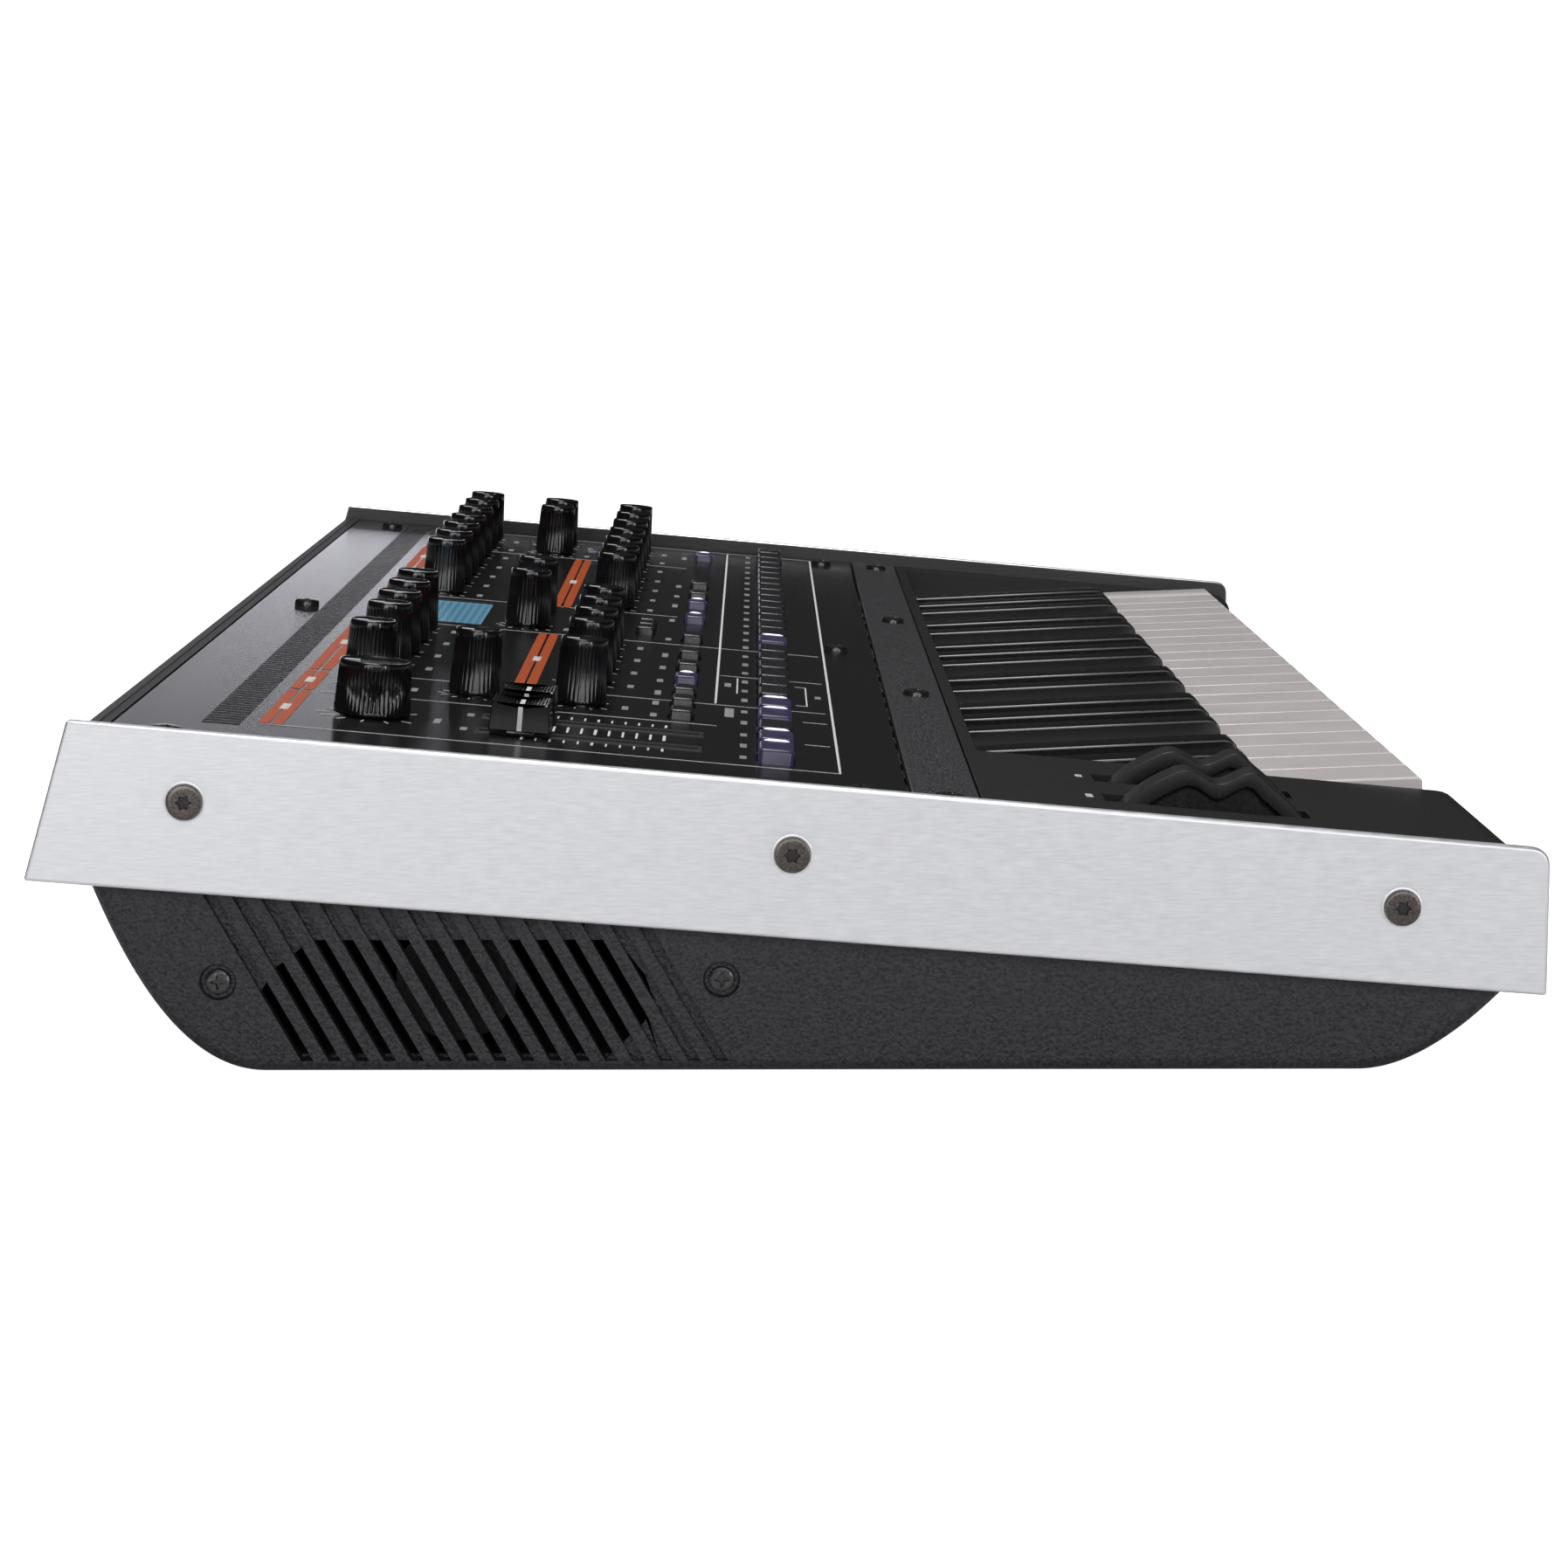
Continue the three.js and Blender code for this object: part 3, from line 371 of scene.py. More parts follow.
def turned(name, profile, steps):
    """A body turned about Z through points (radius, z) in millimetres, closed at both ends."""
    turns = [2 * math.pi * i / steps for i in range(steps)]
    return skinned(name, [
        [(r * mm * math.cos(a), r * mm * math.sin(a), z * mm) for a in turns] for r, z in profile
    ])


copying = bpy.data.node_groups.new("copies_at_places", "GeometryNodeTree")
copy_inputs = {
    label: copying.interface.new_socket(label, in_out="INPUT", socket_type=kind).identifier
    for label, kind in (
        ("Places", "NodeSocketGeometry"),
        ("Pattern", "NodeSocketObject"),
        ("Size", "NodeSocketFloat"),
        ("Finish", "NodeSocketMaterial"),
    )
}
copying.interface.new_socket("Copies", in_out="OUTPUT", socket_type="NodeSocketGeometry")
tree_nodes, tree_links = copying.nodes, copying.links
tree_in = tree_nodes.new("NodeGroupInput")
tree_out = tree_nodes.new("NodeGroupOutput")
pattern_node = tree_nodes.new("GeometryNodeObjectInfo")
turn_node = tree_nodes.new("GeometryNodeInputNamedAttribute")
turn_node.data_type = "FLOAT_VECTOR"
turn_node.inputs["Name"].default_value = "turn"
stretch_node = tree_nodes.new("GeometryNodeInputNamedAttribute")
stretch_node.data_type = "FLOAT_VECTOR"
stretch_node.inputs["Name"].default_value = "stretch"
rotation_node = tree_nodes.new("FunctionNodeEulerToRotation")
size_node = tree_nodes.new("ShaderNodeVectorMath")
size_node.operation = "SCALE"
instances = tree_nodes.new("GeometryNodeInstanceOnPoints")
realize = tree_nodes.new("GeometryNodeRealizeInstances")
coat = tree_nodes.new("GeometryNodeSetMaterial")
for giver, output, taker, socket in (
    (tree_in, "Places", instances, "Points"),
    (tree_in, "Pattern", pattern_node, "Object"),
    (pattern_node, "Geometry", instances, "Instance"),
    (turn_node, "Attribute", rotation_node, "Euler"),
    (rotation_node, "Rotation", instances, "Rotation"),
    (stretch_node, "Attribute", size_node, "Vector"),
    (tree_in, "Size", size_node, "Scale"),
    (size_node, "Vector", instances, "Scale"),
    (instances, "Instances", realize, "Geometry"),
    (realize, "Geometry", coat, "Geometry"),
    (tree_in, "Finish", coat, "Material"),
    (coat, "Geometry", tree_out, "Copies"),
):
    tree_links.new(giver.outputs[output], taker.inputs[socket])


def worked_out(obj):
    """The object's mesh with its modifiers carried out."""
    graph = bpy.context.evaluated_depsgraph_get()
    mesh = bpy.data.meshes.new_from_object(obj.evaluated_get(graph))
    obj.modifiers.clear()
    obj.data = mesh
    return obj


def copies(name, pattern, places, material, size=1.0, keep=False):
    """One mesh of a pattern repeated at places, each a matrix or (matrix, stretch)."""
    places = [p if isinstance(p, tuple) else (p, (1, 1, 1)) for p in places]
    mesh = bpy.data.meshes.new(name)
    mesh.from_pydata([p.to_translation() for p, _ in places], [], [])
    turn = mesh.attributes.new("turn", "FLOAT_VECTOR", "POINT")
    turn.data.foreach_set("vector", [v for p, _ in places for v in p.to_euler()])
    stretch = mesh.attributes.new("stretch", "FLOAT_VECTOR", "POINT")
    stretch.data.foreach_set("vector", [v for _, s in places for v in s])
    obj = new_object(name, mesh)
    modifier = obj.modifiers.new("copies", "NODES")
    modifier.node_group = copying
    modifier[copy_inputs["Pattern"]] = pattern
    modifier[copy_inputs["Size"]] = size
    modifier[copy_inputs["Finish"]] = material
    worked_out(obj)
    if not keep:
        bpy.data.objects.remove(pattern)
    return obj


def facing(direction, place):
    """A matrix that turns +Z to a direction and moves the origin to a place."""
    turn = Vector(direction).to_track_quat("Z", "Y").to_matrix().to_4x4()
    return Matrix.Translation(place) @ turn


plate_screw_depths = (rear - 32 * mm, -1 * mm, front + 29 * mm)
plate_screw_places = [
    facing((side, 0, 0), (side * plate_face, y, deck_z(y, -PLATE_SCREW_DROP)))
    for side in (-1, 1) for y in plate_screw_depths
]
nickel = grained(
    "dark_nickel", (0.1, 0.088, 0.08), 0.3, 1.0, grain_of=(2600, 2),
    tints=((0.07, 0.061, 0.056), (0.14, 0.124, 0.113)), rough=(0.22, 0.36),
)
plate_head = head_of("plate_screw", 3.5 * mm, PLATE_SCREW_HEIGHT, 6, (1.0 * mm, 1.5 * mm),
                     1.1 * mm, 0.25 * mm)
settle(copies("plate_screws", plate_head, plate_screw_places, nickel),
       None, "root", "steel")
# A near-black disc fills each screw socket: painted shade in the recess.
socket_painted_shade = grained(
    "socket_painted_shade", (0.004, 0.004, 0.004), 0.5, grain_of=(2000, 2), rough=(0.4, 0.6),
)
socket_floor = turned("socket_floor", [(1.5, 0.3), (1.5, 1.2)], 24)
settle(copies("plate_screw_sockets", socket_floor, plate_screw_places, socket_painted_shade),
       None, "root", "steel")
seat = turned("screw_seat", [
    (3.55, -0.1), (4.1, -0.1), (4.05, 0.12), (3.7, 0.2),
    (3.55, 0.1),
], 40)
settle(copies("plate_screw_seats", shaded(seat, 40), plate_screw_places, aluminium),
       None, "root", "brushed_aluminium")

# ---- Bottom case ----
# The case is one tub of black moulded plastic with a pebbled skin and rounded sides. Slanted
# grooves cross each side, and go right through where the speaker sits behind them.
CASE_WALL = 3 * mm
CASE_ROUNDING = 2.6 * mm
CASE_REAR_CURVE = 34.4 * mm
CASE_REAR_RISE = 38.8 * mm
CASE_REAR_PULL = 14.9 * mm
CASE_FRONT_CURVE = 28.3 * mm
CASE_FRONT_RISE = 15.7 * mm
CASE_LIP = 3.2 * mm
CASE_REAR_INSET = 11.6 * mm
CASE_FRONT_INSET = 7.7 * mm
SLIP_BOTTOM = 19 * mm
PLATE_BOSS = 3 * mm
case_half = case_high.x - PLATE_BOSS
case_rear = rear - CASE_REAR_INSET
case_front = front + CASE_FRONT_INSET
case_step = panel_low.y - 1.4 * mm


def tub_outline(wall, front_top, rear_top):
    bottom = underside + wall
    back = case_rear - wall
    nose = case_front + wall
    return [
        *curve((back - CASE_REAR_CURVE, bottom), (back - CASE_REAR_PULL, bottom),
               (back, bottom + CASE_REAR_RISE), 28),
        (back, deck_z(back, rear_top)),
        (case_step, deck_z(case_step, rear_top)),
        (case_step, deck_z(case_step, front_top)),
        (nose - CASE_LIP, deck_z(nose - CASE_LIP, front_top)),
        (nose - CASE_LIP, bottom + CASE_FRONT_RISE + CASE_LIP),
        *curve((nose, bottom + CASE_FRONT_RISE), (nose + CASE_FRONT_RISE, bottom),
               (nose + CASE_FRONT_CURVE, bottom), 20),
    ]


def drawn_in(outline, distance):
    """The outline moved inwards, its points kept in step."""
    moved = []
    for i, point in enumerate(outline):
        before = Vector(point) - Vector(outline[i - 1])
        after = Vector(outline[(i + 1) % len(outline)]) - Vector(point)
        one = Vector((-before.y, before.x)).normalized()
        two = Vector((-after.y, after.x)).normalized()
        corner = (one + two).normalized()
        moved.append(tuple(Vector(point) + corner * distance / max(0.5, corner.dot(one))))
    return moved


def block(name, low, high):
    form = bmesh.new()
    corners = [form.verts.new((x, y, z)) for x in (low[0], high[0])
               for y in (low[1], high[1]) for z in (low[2], high[2])]
    for quad in ((0, 1, 3, 2), (4, 6, 7, 5), (0, 4, 5, 1), (2, 3, 7, 6), (0, 2, 6, 4), (1, 5, 7, 3)):
        form.faces.new([corners[i] for i in quad])
    return new_object(name, mesh_of(name, form))


def merged(name, objects):
    """One object from several, with nothing joined between them."""
    form = bmesh.new()
    for obj in objects:
        form.from_mesh(obj.data)
        bpy.data.objects.remove(obj)
    mesh = bpy.data.meshes.new(name)
    form.to_mesh(mesh)
    form.free()
    return new_object(name, mesh)


def carved(obj, cutter, operation="DIFFERENCE"):
    modifier = obj.modifiers.new("carve", "BOOLEAN")
    modifier.operation = operation
    modifier.solver = "EXACT"
    modifier.object = cutter
    worked_out(obj)
    bpy.data.objects.remove(cutter)
    return obj


pebbled = grained(
    "pebbled_plastic", (0.012, 0.012, 0.014), 0.4, grain_of=(1350, 1.5),
    tints=((0.01, 0.01, 0.012), (0.036, 0.036, 0.041)), rough=(0.34, 0.5),
    bumps=(0.45 * mm, 0.9), specular=0.3,
)

outer = tub_outline(0, -5.8 * mm, -2.4 * mm)
ease = [
    (case_half - CASE_ROUNDING * (1 - math.sin(math.pi / 2 * i / 6)),
     drawn_in(outer, CASE_ROUNDING * (1 - math.cos(math.pi / 2 * i / 6))))
    for i in range(7)
]
case = loft("bottom_case_pebbled", [(-x, o) for x, o in reversed(ease)] + ease)
wall = case_half - CASE_WALL
cavity_outline = tub_outline(CASE_WALL, 60 * mm, 60 * mm)
carved(case, loft("cavity", [(-wall, cavity_outline), (wall, cavity_outline)]))
carved(case, block("front_opening", (-wall, front - 1 * mm, underside + SLIP_BOTTOM),
                   (wall, case_front + 2 * CASE_WALL, 0.2)))
carved(case, block("rear_opening", (-wall, case_rear - 2 * CASE_WALL, underside + 38.5 * mm),
                   (wall, rear, 0.2)))

VENT_COUNT = 16
VENT_PITCH = 5.5 * mm
VENT_WIDTH = 2.5 * mm
VENT_LEAN = 0.563
VENT_BOTTOM = underside + 2.3 * mm
VENT_TOP = underside + 40 * mm
VENT_FROM_REAR = 55.8 * mm
VENT_DEPTH = 1.6 * mm


def vent_cutters(name, x0, x1):
    """The slanted slots of one side, between two depths."""
    run = (VENT_TOP - VENT_BOTTOM) * VENT_LEAN
    cutters = []
    for i in range(VENT_COUNT):
        foot = rear - VENT_FROM_REAR - i * VENT_PITCH
        outline = [(foot, VENT_BOTTOM), (foot + VENT_WIDTH, VENT_BOTTOM),
                   (foot + VENT_WIDTH + run, VENT_TOP), (foot + run, VENT_TOP)]
        cutters.append(loft(f"{name}_{i}", [(x0, outline), (x1, outline)]))
    return merged(name, cutters)


sound_outline = [
    (rear - back * mm, underside + up * mm) for back, up in (
        (112, 0.5), (46, 0.5), (43.5, 13), (48.2, 20.8), (55.5, 26.5), (113.7, 26.5), (118.5, 23.6),
        (121.8, 19.4), (123.4, 14.7), (121.6, 9.8), (117, 5.4),
    )
]
case_screw_spots = [
    (rear - back * mm, underside + up * mm) for back, up in ((37, 18.3), (137, 18.7))
]
CASE_SCREW_RECESS = 1.2 * mm
for side in (-1, 1):
    outside = side * (case_half + 1 * mm)
    carved(case, vent_cutters("grooves", side * (case_half - VENT_DEPTH), outside))
    slots = vent_cutters("slots", side * (wall - 1 * mm), outside)
    sound = loft("sound", [(side * (wall - 2 * mm), sound_outline),
                           (side * (case_half + 2 * mm), sound_outline)])
    carved(case, carved(slots, sound, "INTERSECT"))
    recesses = []
    for y, z in case_screw_spots:
        recess = turned("recess", [
            (3.3, -CASE_SCREW_RECESS / mm), (3.7, 0.02), (3.7, 2),
        ], 40)
        recess.data.transform(facing((side, 0, 0), (side * case_half, y, z)))
        recesses.append(recess)
    carved(case, merged("recesses", recesses))
settle(shaded(case), pebbled, "root", "textured_plastic", "bottom_case")

# ---- Case screws and plate spacers ----
# Black cross-head screws sit in the round recesses of the case, two on each side, and short
# bosses hold the end plates off its walls.
black_screw = grained(
    "blackened_steel", (0.06, 0.06, 0.062), 0.25, 0.8, grain_of=(1900, 2),
    tints=((0.045, 0.045, 0.047), (0.08, 0.08, 0.083)), rough=(0.2, 0.32),
)
cross_head = head_of("case_screw", 2.6 * mm, 1.1 * mm, 4, (0.5 * mm, 1.5 * mm), 0.9 * mm,
                     0.7 * mm, 0.25 * mm)
settle(copies("case_screws", cross_head, [
    facing((side, 0, 0), (side * (case_half - CASE_SCREW_RECESS), y, z))
    for side in (-1, 1) for y, z in case_screw_spots
], black_screw), None, "root", "steel")
boss = turned("boss", [(4, -0.4), (4, 2.3), (3.7, 2.7),
                       (2, 2.7)], 24)
settle(copies("plate_bosses", shaded(boss, 40), [
    facing((side, 0, 0), (side * case_half, y, deck_z(y, -PLATE_SCREW_DROP)))
    for side in (-1, 1) for y in plate_screw_depths
], pebbled), None, "root", "textured_plastic")

# ---- Feet ----
# Four moulded rubber feet, each with a worn sole and the recess of the screw that fixes it
# to the underside of the case.
rubber = grained(
    "rubber", (0.02, 0.02, 0.02), 0.85, grain_of=(1100, 4),
    tints=((0.014, 0.014, 0.014), (0.032, 0.032, 0.033)), bumps=(0.2 * mm, 0.5),
)
for name in ("foot_front_left", "foot_front_right", "foot_rear_left", "foot_rear_right"):
    low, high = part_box(name)
    foot = turned(name + "_rubber", [
        (2.2, 3), (2.6, 0.2), (3, 0), (7.2, 0), (7.8, 0.3),
        (8.1, 1), (8.9, high.z / mm - 1), (8.7, high.z / mm - 0.2),
        (8.3, high.z / mm),
    ], 48)
    foot.data.transform(Matrix.Translation(((low.x + high.x) / 2, (low.y + high.y) / 2, 0)))
    settle(shaded(foot, 40), rubber, "root", "rubber", name)

# ---- Control panel, rear panel and front strip ----
# The deck is folded sheet: a satin black panel, the rear panel with its top rail, and a strip
# of dark brushed metal ahead of them. The strip's edges are eased.


def coat_node(node, material):
    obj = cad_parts[node]
    obj.data.materials.clear()
    obj.data.materials.append(material)


panel_paint = grained(
    "panel_paint", (0.009, 0.009, 0.01), 0.24, grain_of=(2400, 3),
    tints=((0.006, 0.006, 0.007), (0.013, 0.013, 0.014)), rough=(0.2, 0.27),
    bumps=(0.03 * mm, 0.25),
)
coat_node("control_panel", panel_paint)
rail_paint = grained(
    "rail_paint", (0.02, 0.02, 0.021), 0.5, grain_of=(1600, 3),
    tints=((0.014, 0.014, 0.015), (0.03, 0.03, 0.031)), rough=(0.45, 0.6),
    bumps=(0.06 * mm, 0.4),
)
coat_node("rear_panel", rail_paint)

dark_metal = grained(
    "dark_brushed_metal", (0.1, 0.1, 0.105), 0.42, 0.8, grain_of=(1400, 2, (0.3, 2.2, 0.6)),
    tints=((0.075, 0.075, 0.08), (0.12, 0.12, 0.127)), rough=(0.34, 0.52),
    bumps=(0.02 * mm, 0.3),
)


def refined(node, name, width, segments=2, turn=25):
    """A copy of a CAD node with its flat faces made whole and its edges eased."""
    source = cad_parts[node].data
    mesh = bpy.data.meshes.new(name)
    mesh.from_pydata([v.co for v in source.vertices], [],
                     [tuple(p.vertices) for p in source.polygons])
    form = bmesh.new()
    form.from_mesh(mesh)
    bmesh.ops.remove_doubles(form, verts=form.verts, dist=2e-6)
    bmesh.ops.dissolve_limit(form, angle_limit=math.radians(0.5), verts=form.verts,
                             edges=form.edges)
    form.to_mesh(mesh)
    form.free()
    return eased(new_object(name, mesh), width, segments, turn)


settle(shaded(refined("front_strip", "front_strip_brushed", 0.35 * mm)), dark_metal,
       "root", "brushed_dark", "front_strip")

# ---- Rear sockets ----
# Jack sockets with turned steel nuts, two round cable sockets, two plug shells and the power
# inlet sit behind the holes of the rear panel, which leans with the plates.
SOCKET_Z = 62 * mm
WALL_LEAN = math.atan((PLATE_REAR_LEAN - 1.3 * mm) / (deck_z(rear) - underside - 40.3 * mm))
wall_y = rear - 0.9 * mm - math.tan(WALL_LEAN) * (SOCKET_Z - underside - 40.3 * mm)
wall_normal = (0, math.cos(WALL_LEAN), math.sin(WALL_LEAN))


def at_rear(x, depth=0.0):
    """A matrix for a thing that faces back out of the rear panel."""
    return facing(wall_normal, (x * mm, wall_y, SOCKET_Z)) @ Matrix.Translation((0, 0, depth))


JACKS = (96, 72, -150, -174, -214)
CABLE_SOCKETS = (170, 142)
PLUG_SHELLS = (("plug_shell_square", 226, 4.1, 3.8), ("plug_shell_flat", 202, 6.3, 2.8))
INLET_X = 252
PINS = 5
PIN_REACH = 4 * mm
zinc = grained(
    "bright_zinc", (0.6, 0.6, 0.6), 0.3, 1.0, grain_of=(1500, 2),
    tints=((0.48, 0.48, 0.49), (0.66, 0.66, 0.67)), rough=(0.22, 0.4),
)
nut = turned("nut", [(3.2, -6), (4.6, -6), (4.6, 0.05),
                     (6, 0.05), (6, 1.4), (5.6, 1.7),
                     (4.3, 1.7), (4.2, 2.2), (3.3, 2.2),
                     (3.2, 2)], 36)
nut_form = bmesh.new()
nut_form.from_mesh(nut.data)
bmesh.ops.delete(nut_form, geom=[f for f in nut_form.faces if len(f.verts) > 4],
                 context="FACES_ONLY")
nut_form.to_mesh(nut.data)
nut_form.free()
settle(copies("jack_nuts", shaded(nut, 35), [at_rear(x) for x in JACKS], zinc),
       None, "root", "steel")
plug = turned("socket_plug", [(7.2, -7), (7.2, -0.6), (6.4, -0.4),
                              (6.2, -1.6)], 36)
settle(copies("cable_sockets", shaded(plug, 35), [at_rear(x) for x in CABLE_SOCKETS], black_screw),
       None, "root", "steel")
pin_hole = turned("pin_hole", [(0.7, -2), (0.7, -1.5)], 12)
pin_places = []
for x in CABLE_SOCKETS:
    for i in range(PINS):
        turn = math.pi * (i / (PINS - 1))
        pin_places.append(at_rear(x) @ Matrix.Translation(
            (PIN_REACH * math.cos(turn), PIN_REACH * math.sin(turn), 0)))
settle(copies("cable_socket_pins", pin_hole, pin_places, zinc), None, "root", "steel")
for name, x, wide, high in PLUG_SHELLS:
    shell = block(name, (-wide * mm, -high * mm, -8 * mm), (wide * mm, high * mm, -0.3 * mm))
    shell.data.transform(at_rear(x))
    tongue = block("tongue", ((0.6 - wide) * mm, (0.6 - high) * mm, -6 * mm),
                   ((wide - 0.6) * mm, (high - 0.6) * mm, 1 * mm))
    tongue.data.transform(at_rear(x))
    settle(shaded(eased(carved(shell, tongue), 0.12 * mm, 2)), zinc, "root", "steel")
inlet = turned("power_inlet", [(4.2, -7), (4.2, -0.3), (3.1, -0.2),
                               (3, -4)], 32)
inlet.data.transform(at_rear(INLET_X))
settle(shaded(inlet, 35), black_screw, "root", "steel")

# ---- Speakers ----
# Behind the grooves on each side, a small paper cone in a black frame faces out through them.
# Its frame is fixed to the inside of the case's wall.
cone_paper = grained(
    "cone_paper", (0.012, 0.012, 0.012), 0.9, grain_of=(900, 4),
    tints=((0.007, 0.007, 0.007), (0.018, 0.018, 0.018)),
)
for side, name in ((-1, "speaker_left"), (1, "speaker_right")):
    cone = turned(name, [(10.5, -9), (11.4, -1.4), (12, -1.4),
                         (12, -0.6), (10.6, -0.6), (10.2, -1.1),
                         (9.4, -1), (3.4, -5), (1.6, -4.2)], 48)
    cone.data.transform(facing((side, 0, 0), (side * (wall - 1.5 * mm), rear - 84 * mm,
                                             underside + 17.5 * mm)))
    settle(shaded(cone, 40), cone_paper, "root", "matte_plastic")

# ---- Deck screws ----
# Low heads of blackened steel, with six-lobed sockets, fix the control panel and the front
# strip, in three rows across the deck.


def on_deck(x, s, above=0.0, turn=0.0):
    """A matrix for a thing that stands on the deck."""
    return deck @ Matrix.Translation((x, s, above)) @ Matrix.Rotation(turn, 4, "Z")


def deck_places(spots):
    """Matrices for like things that stand on the deck at spots (x, s) in millimetres."""
    return [on_deck(x * mm, s * mm) for x, s in spots]


deck_screw_spots = [
    *((x, s) for s in (125.2, -15) for x in (-262, 3, 262)),
    *((x, -33) for x in (-262, -84, 92, 262)),
]
pan_head = head_of("deck_screw", 3.2 * mm, 1.35 * mm, 6, (0.8 * mm, 1.25 * mm), 0.9 * mm,
                   0.55 * mm, 0.12 * mm)
settle(copies("deck_screws", pan_head, deck_places(deck_screw_spots), black_screw),
       None, "root", "steel")

# ---- Printing on the panel ----
# Inks laid on the paint: white frame lines and scales, orange section bars and a band of
# matt black hatching. Wording is stood for by plain blocks.
INK_RISE = 0.05 * mm
FIRST_INK = 0.03 * mm


def ink_pad():
    """A unit pad of ink with clipped corners, 1 by 1 and as high as a coat of ink."""
    clip = 0.42
    outline = [(0.5, clip), (clip, 0.5), (-clip, 0.5), (-0.5, clip),
               (-0.5, -clip), (-clip, -0.5), (clip, -0.5), (0.5, -clip)]
    return skinned("ink_pad", [[(x, y, z) for x, y in outline] for z in (-0.02 * mm, INK_RISE)])


def printed(name, marks, material, base=0.0):
    """Prints marks (x, s, width along x, width along s, turn) in millimetres on the deck."""
    places = [
        (on_deck(x * mm, s * mm, base, turn), (w * mm, d * mm, 1)) for x, s, w, d, turn in marks
    ]
    settle(copies(name, ink_pad(), places, material), None, "root", "panel_black")


def ink(name, low, high, roughness):
    return grained(name, high, roughness, grain_of=(1600, 2), tints=(low, high),
                   rough=(roughness - 0.06, roughness + 0.08))


white_ink = ink("white_ink", (0.62, 0.62, 0.62), (0.8, 0.8, 0.8), 0.5)
orange_ink = ink("orange_ink", (0.38, 0.058, 0.01), (0.46, 0.08, 0.016), 0.45)
black_ink = ink("black_ink", (0.006, 0.006, 0.006), (0.012, 0.012, 0.012), 0.7)


def line(x0, s0, x1, s1, weight):
    """A straight line as a mark, from end to end."""
    length = math.hypot(x1 - x0, s1 - s0)
    return ((x0 + x1) / 2, (s0 + s1) / 2, length, weight, math.atan2(s1 - s0, x1 - x0))


HATCH_PITCH = 3.83
HATCH_COUNT = 135
printed("hatch_band", [
    (-240.4 + HATCH_PITCH * i, 116.9, 1.75, 7.8, 0) for i in range(HATCH_COUNT)
], black_ink)

bar_spans = ((107.4, -235.4, -176.8), (107.4, -174.2, -138), (107.4, -135.4, -17),
             (107.4, 54, 130), (107.4, 132.6, 204), (107.4, 206.6, 271),
             (60.15, -135.4, -16.7), (60.15, 54, 204))
orange_bars = []
bar_blocks = []
for s, x0, x1 in bar_spans:
    middle = (x0 + x1) / 2
    for edge in (-1, 1):
        orange_bars.append((middle, s + edge * 1.42, x1 - x0, 2.3, 0))
    for i in range(-2, 3):
        bar_blocks.append((middle + 1.9 * i, s, 1.35, 1.9, 0))
printed("section_bars", orange_bars, orange_ink)
printed("bar_blocks", bar_blocks, white_ink, base=FIRST_INK)

FRAME_LINE = 0.55
THIN_LINE = 0.35
frame_lines = [
    line(-236.7, -11.4, -236.7, 109.5, THIN_LINE),
    line(-236.7, -11.4, 272, -11.4, FRAME_LINE),
    line(272, -11.4, 272, 109.5, THIN_LINE),
    line(-134.7, 15.6, 270, 15.6, FRAME_LINE),
    line(-175.5, 15, -175.5, 103, THIN_LINE),
    line(-137, -10, -137, 103, THIN_LINE),
    line(-77.6, -10, -77.6, 15, THIN_LINE),
    line(-16.7, -10, -16.7, 103, THIN_LINE),
    line(54.2, 28, 54.2, 103, THIN_LINE),
    line(205.3, 28, 205.3, 103, THIN_LINE),
    line(-125.5, -5.8, -88.7, -5.8, THIN_LINE),
    line(-125.5, -5.8, -125.5, -3.2, THIN_LINE),
    line(-88.7, -5.8, -88.7, -3.2, THIN_LINE),
    line(-111.7, 10.7, -80.8, 10.7, THIN_LINE),
    line(-195, -10, -195, -4.5, THIN_LINE),
    line(-156, -10, -156, -4.5, THIN_LINE),
]
printed("frame_lines", frame_lines, white_ink)

KNOB_COLUMNS = (-158.2, -116.3, -88.6, -60.8, -33.1, 65.6, 94.8, 123.9, 154, 186.4, 216, 245.5)
KNOB_ROWS = (46.2, 93.9)
fixed_knobs = [(x, s) for s in KNOB_ROWS for x in KNOB_COLUMNS]
fixed_knobs += [(-158.2, 70), (-3.5, 66.5), (216.5, 70), (244.5, 70)]
VOLUME_SPOT = (-208.4, 88.7)
VALUE_SPOT = (33.5, 66.5)
TICKS = 11
TICK_SWEEP = math.radians(280)


def scale_round(x, s, near, far, weight):
    """The ticks of a knob's scale, open towards the front."""
    marks = []
    for i in range(TICKS):
        angle = math.pi / 2 + TICK_SWEEP * (i / (TICKS - 1) - 0.5)
        middle = (near + far) / 2
        marks.append((x + middle * math.cos(angle), s + middle * math.sin(angle),
                      far - near, weight, angle))
    return marks


ticks = [mark for x, s in fixed_knobs for mark in scale_round(x, s, 6.6, 8.3, 0.32)]
ticks += scale_round(*VOLUME_SPOT, 9, 11.8, 0.38)
printed("knob_scales", ticks, white_ink)

FADER_X = (-217, -193.5)
LADDER_STEPS = 11
LADDER_PITCH = 2.97
ladder = []
for i in range(LADDER_STEPS):
    s = 55.7 - LADDER_PITCH * i
    weight = 0.55 if i % 5 == 0 else 0.4
    ladder.append((-224, s, 4, weight, 0))
    ladder.append((-204.7, s, 8.4, weight + 0.1, 0))
    ladder.append((-185, s, 4, weight, 0))
printed("fader_scales", ladder, white_ink)

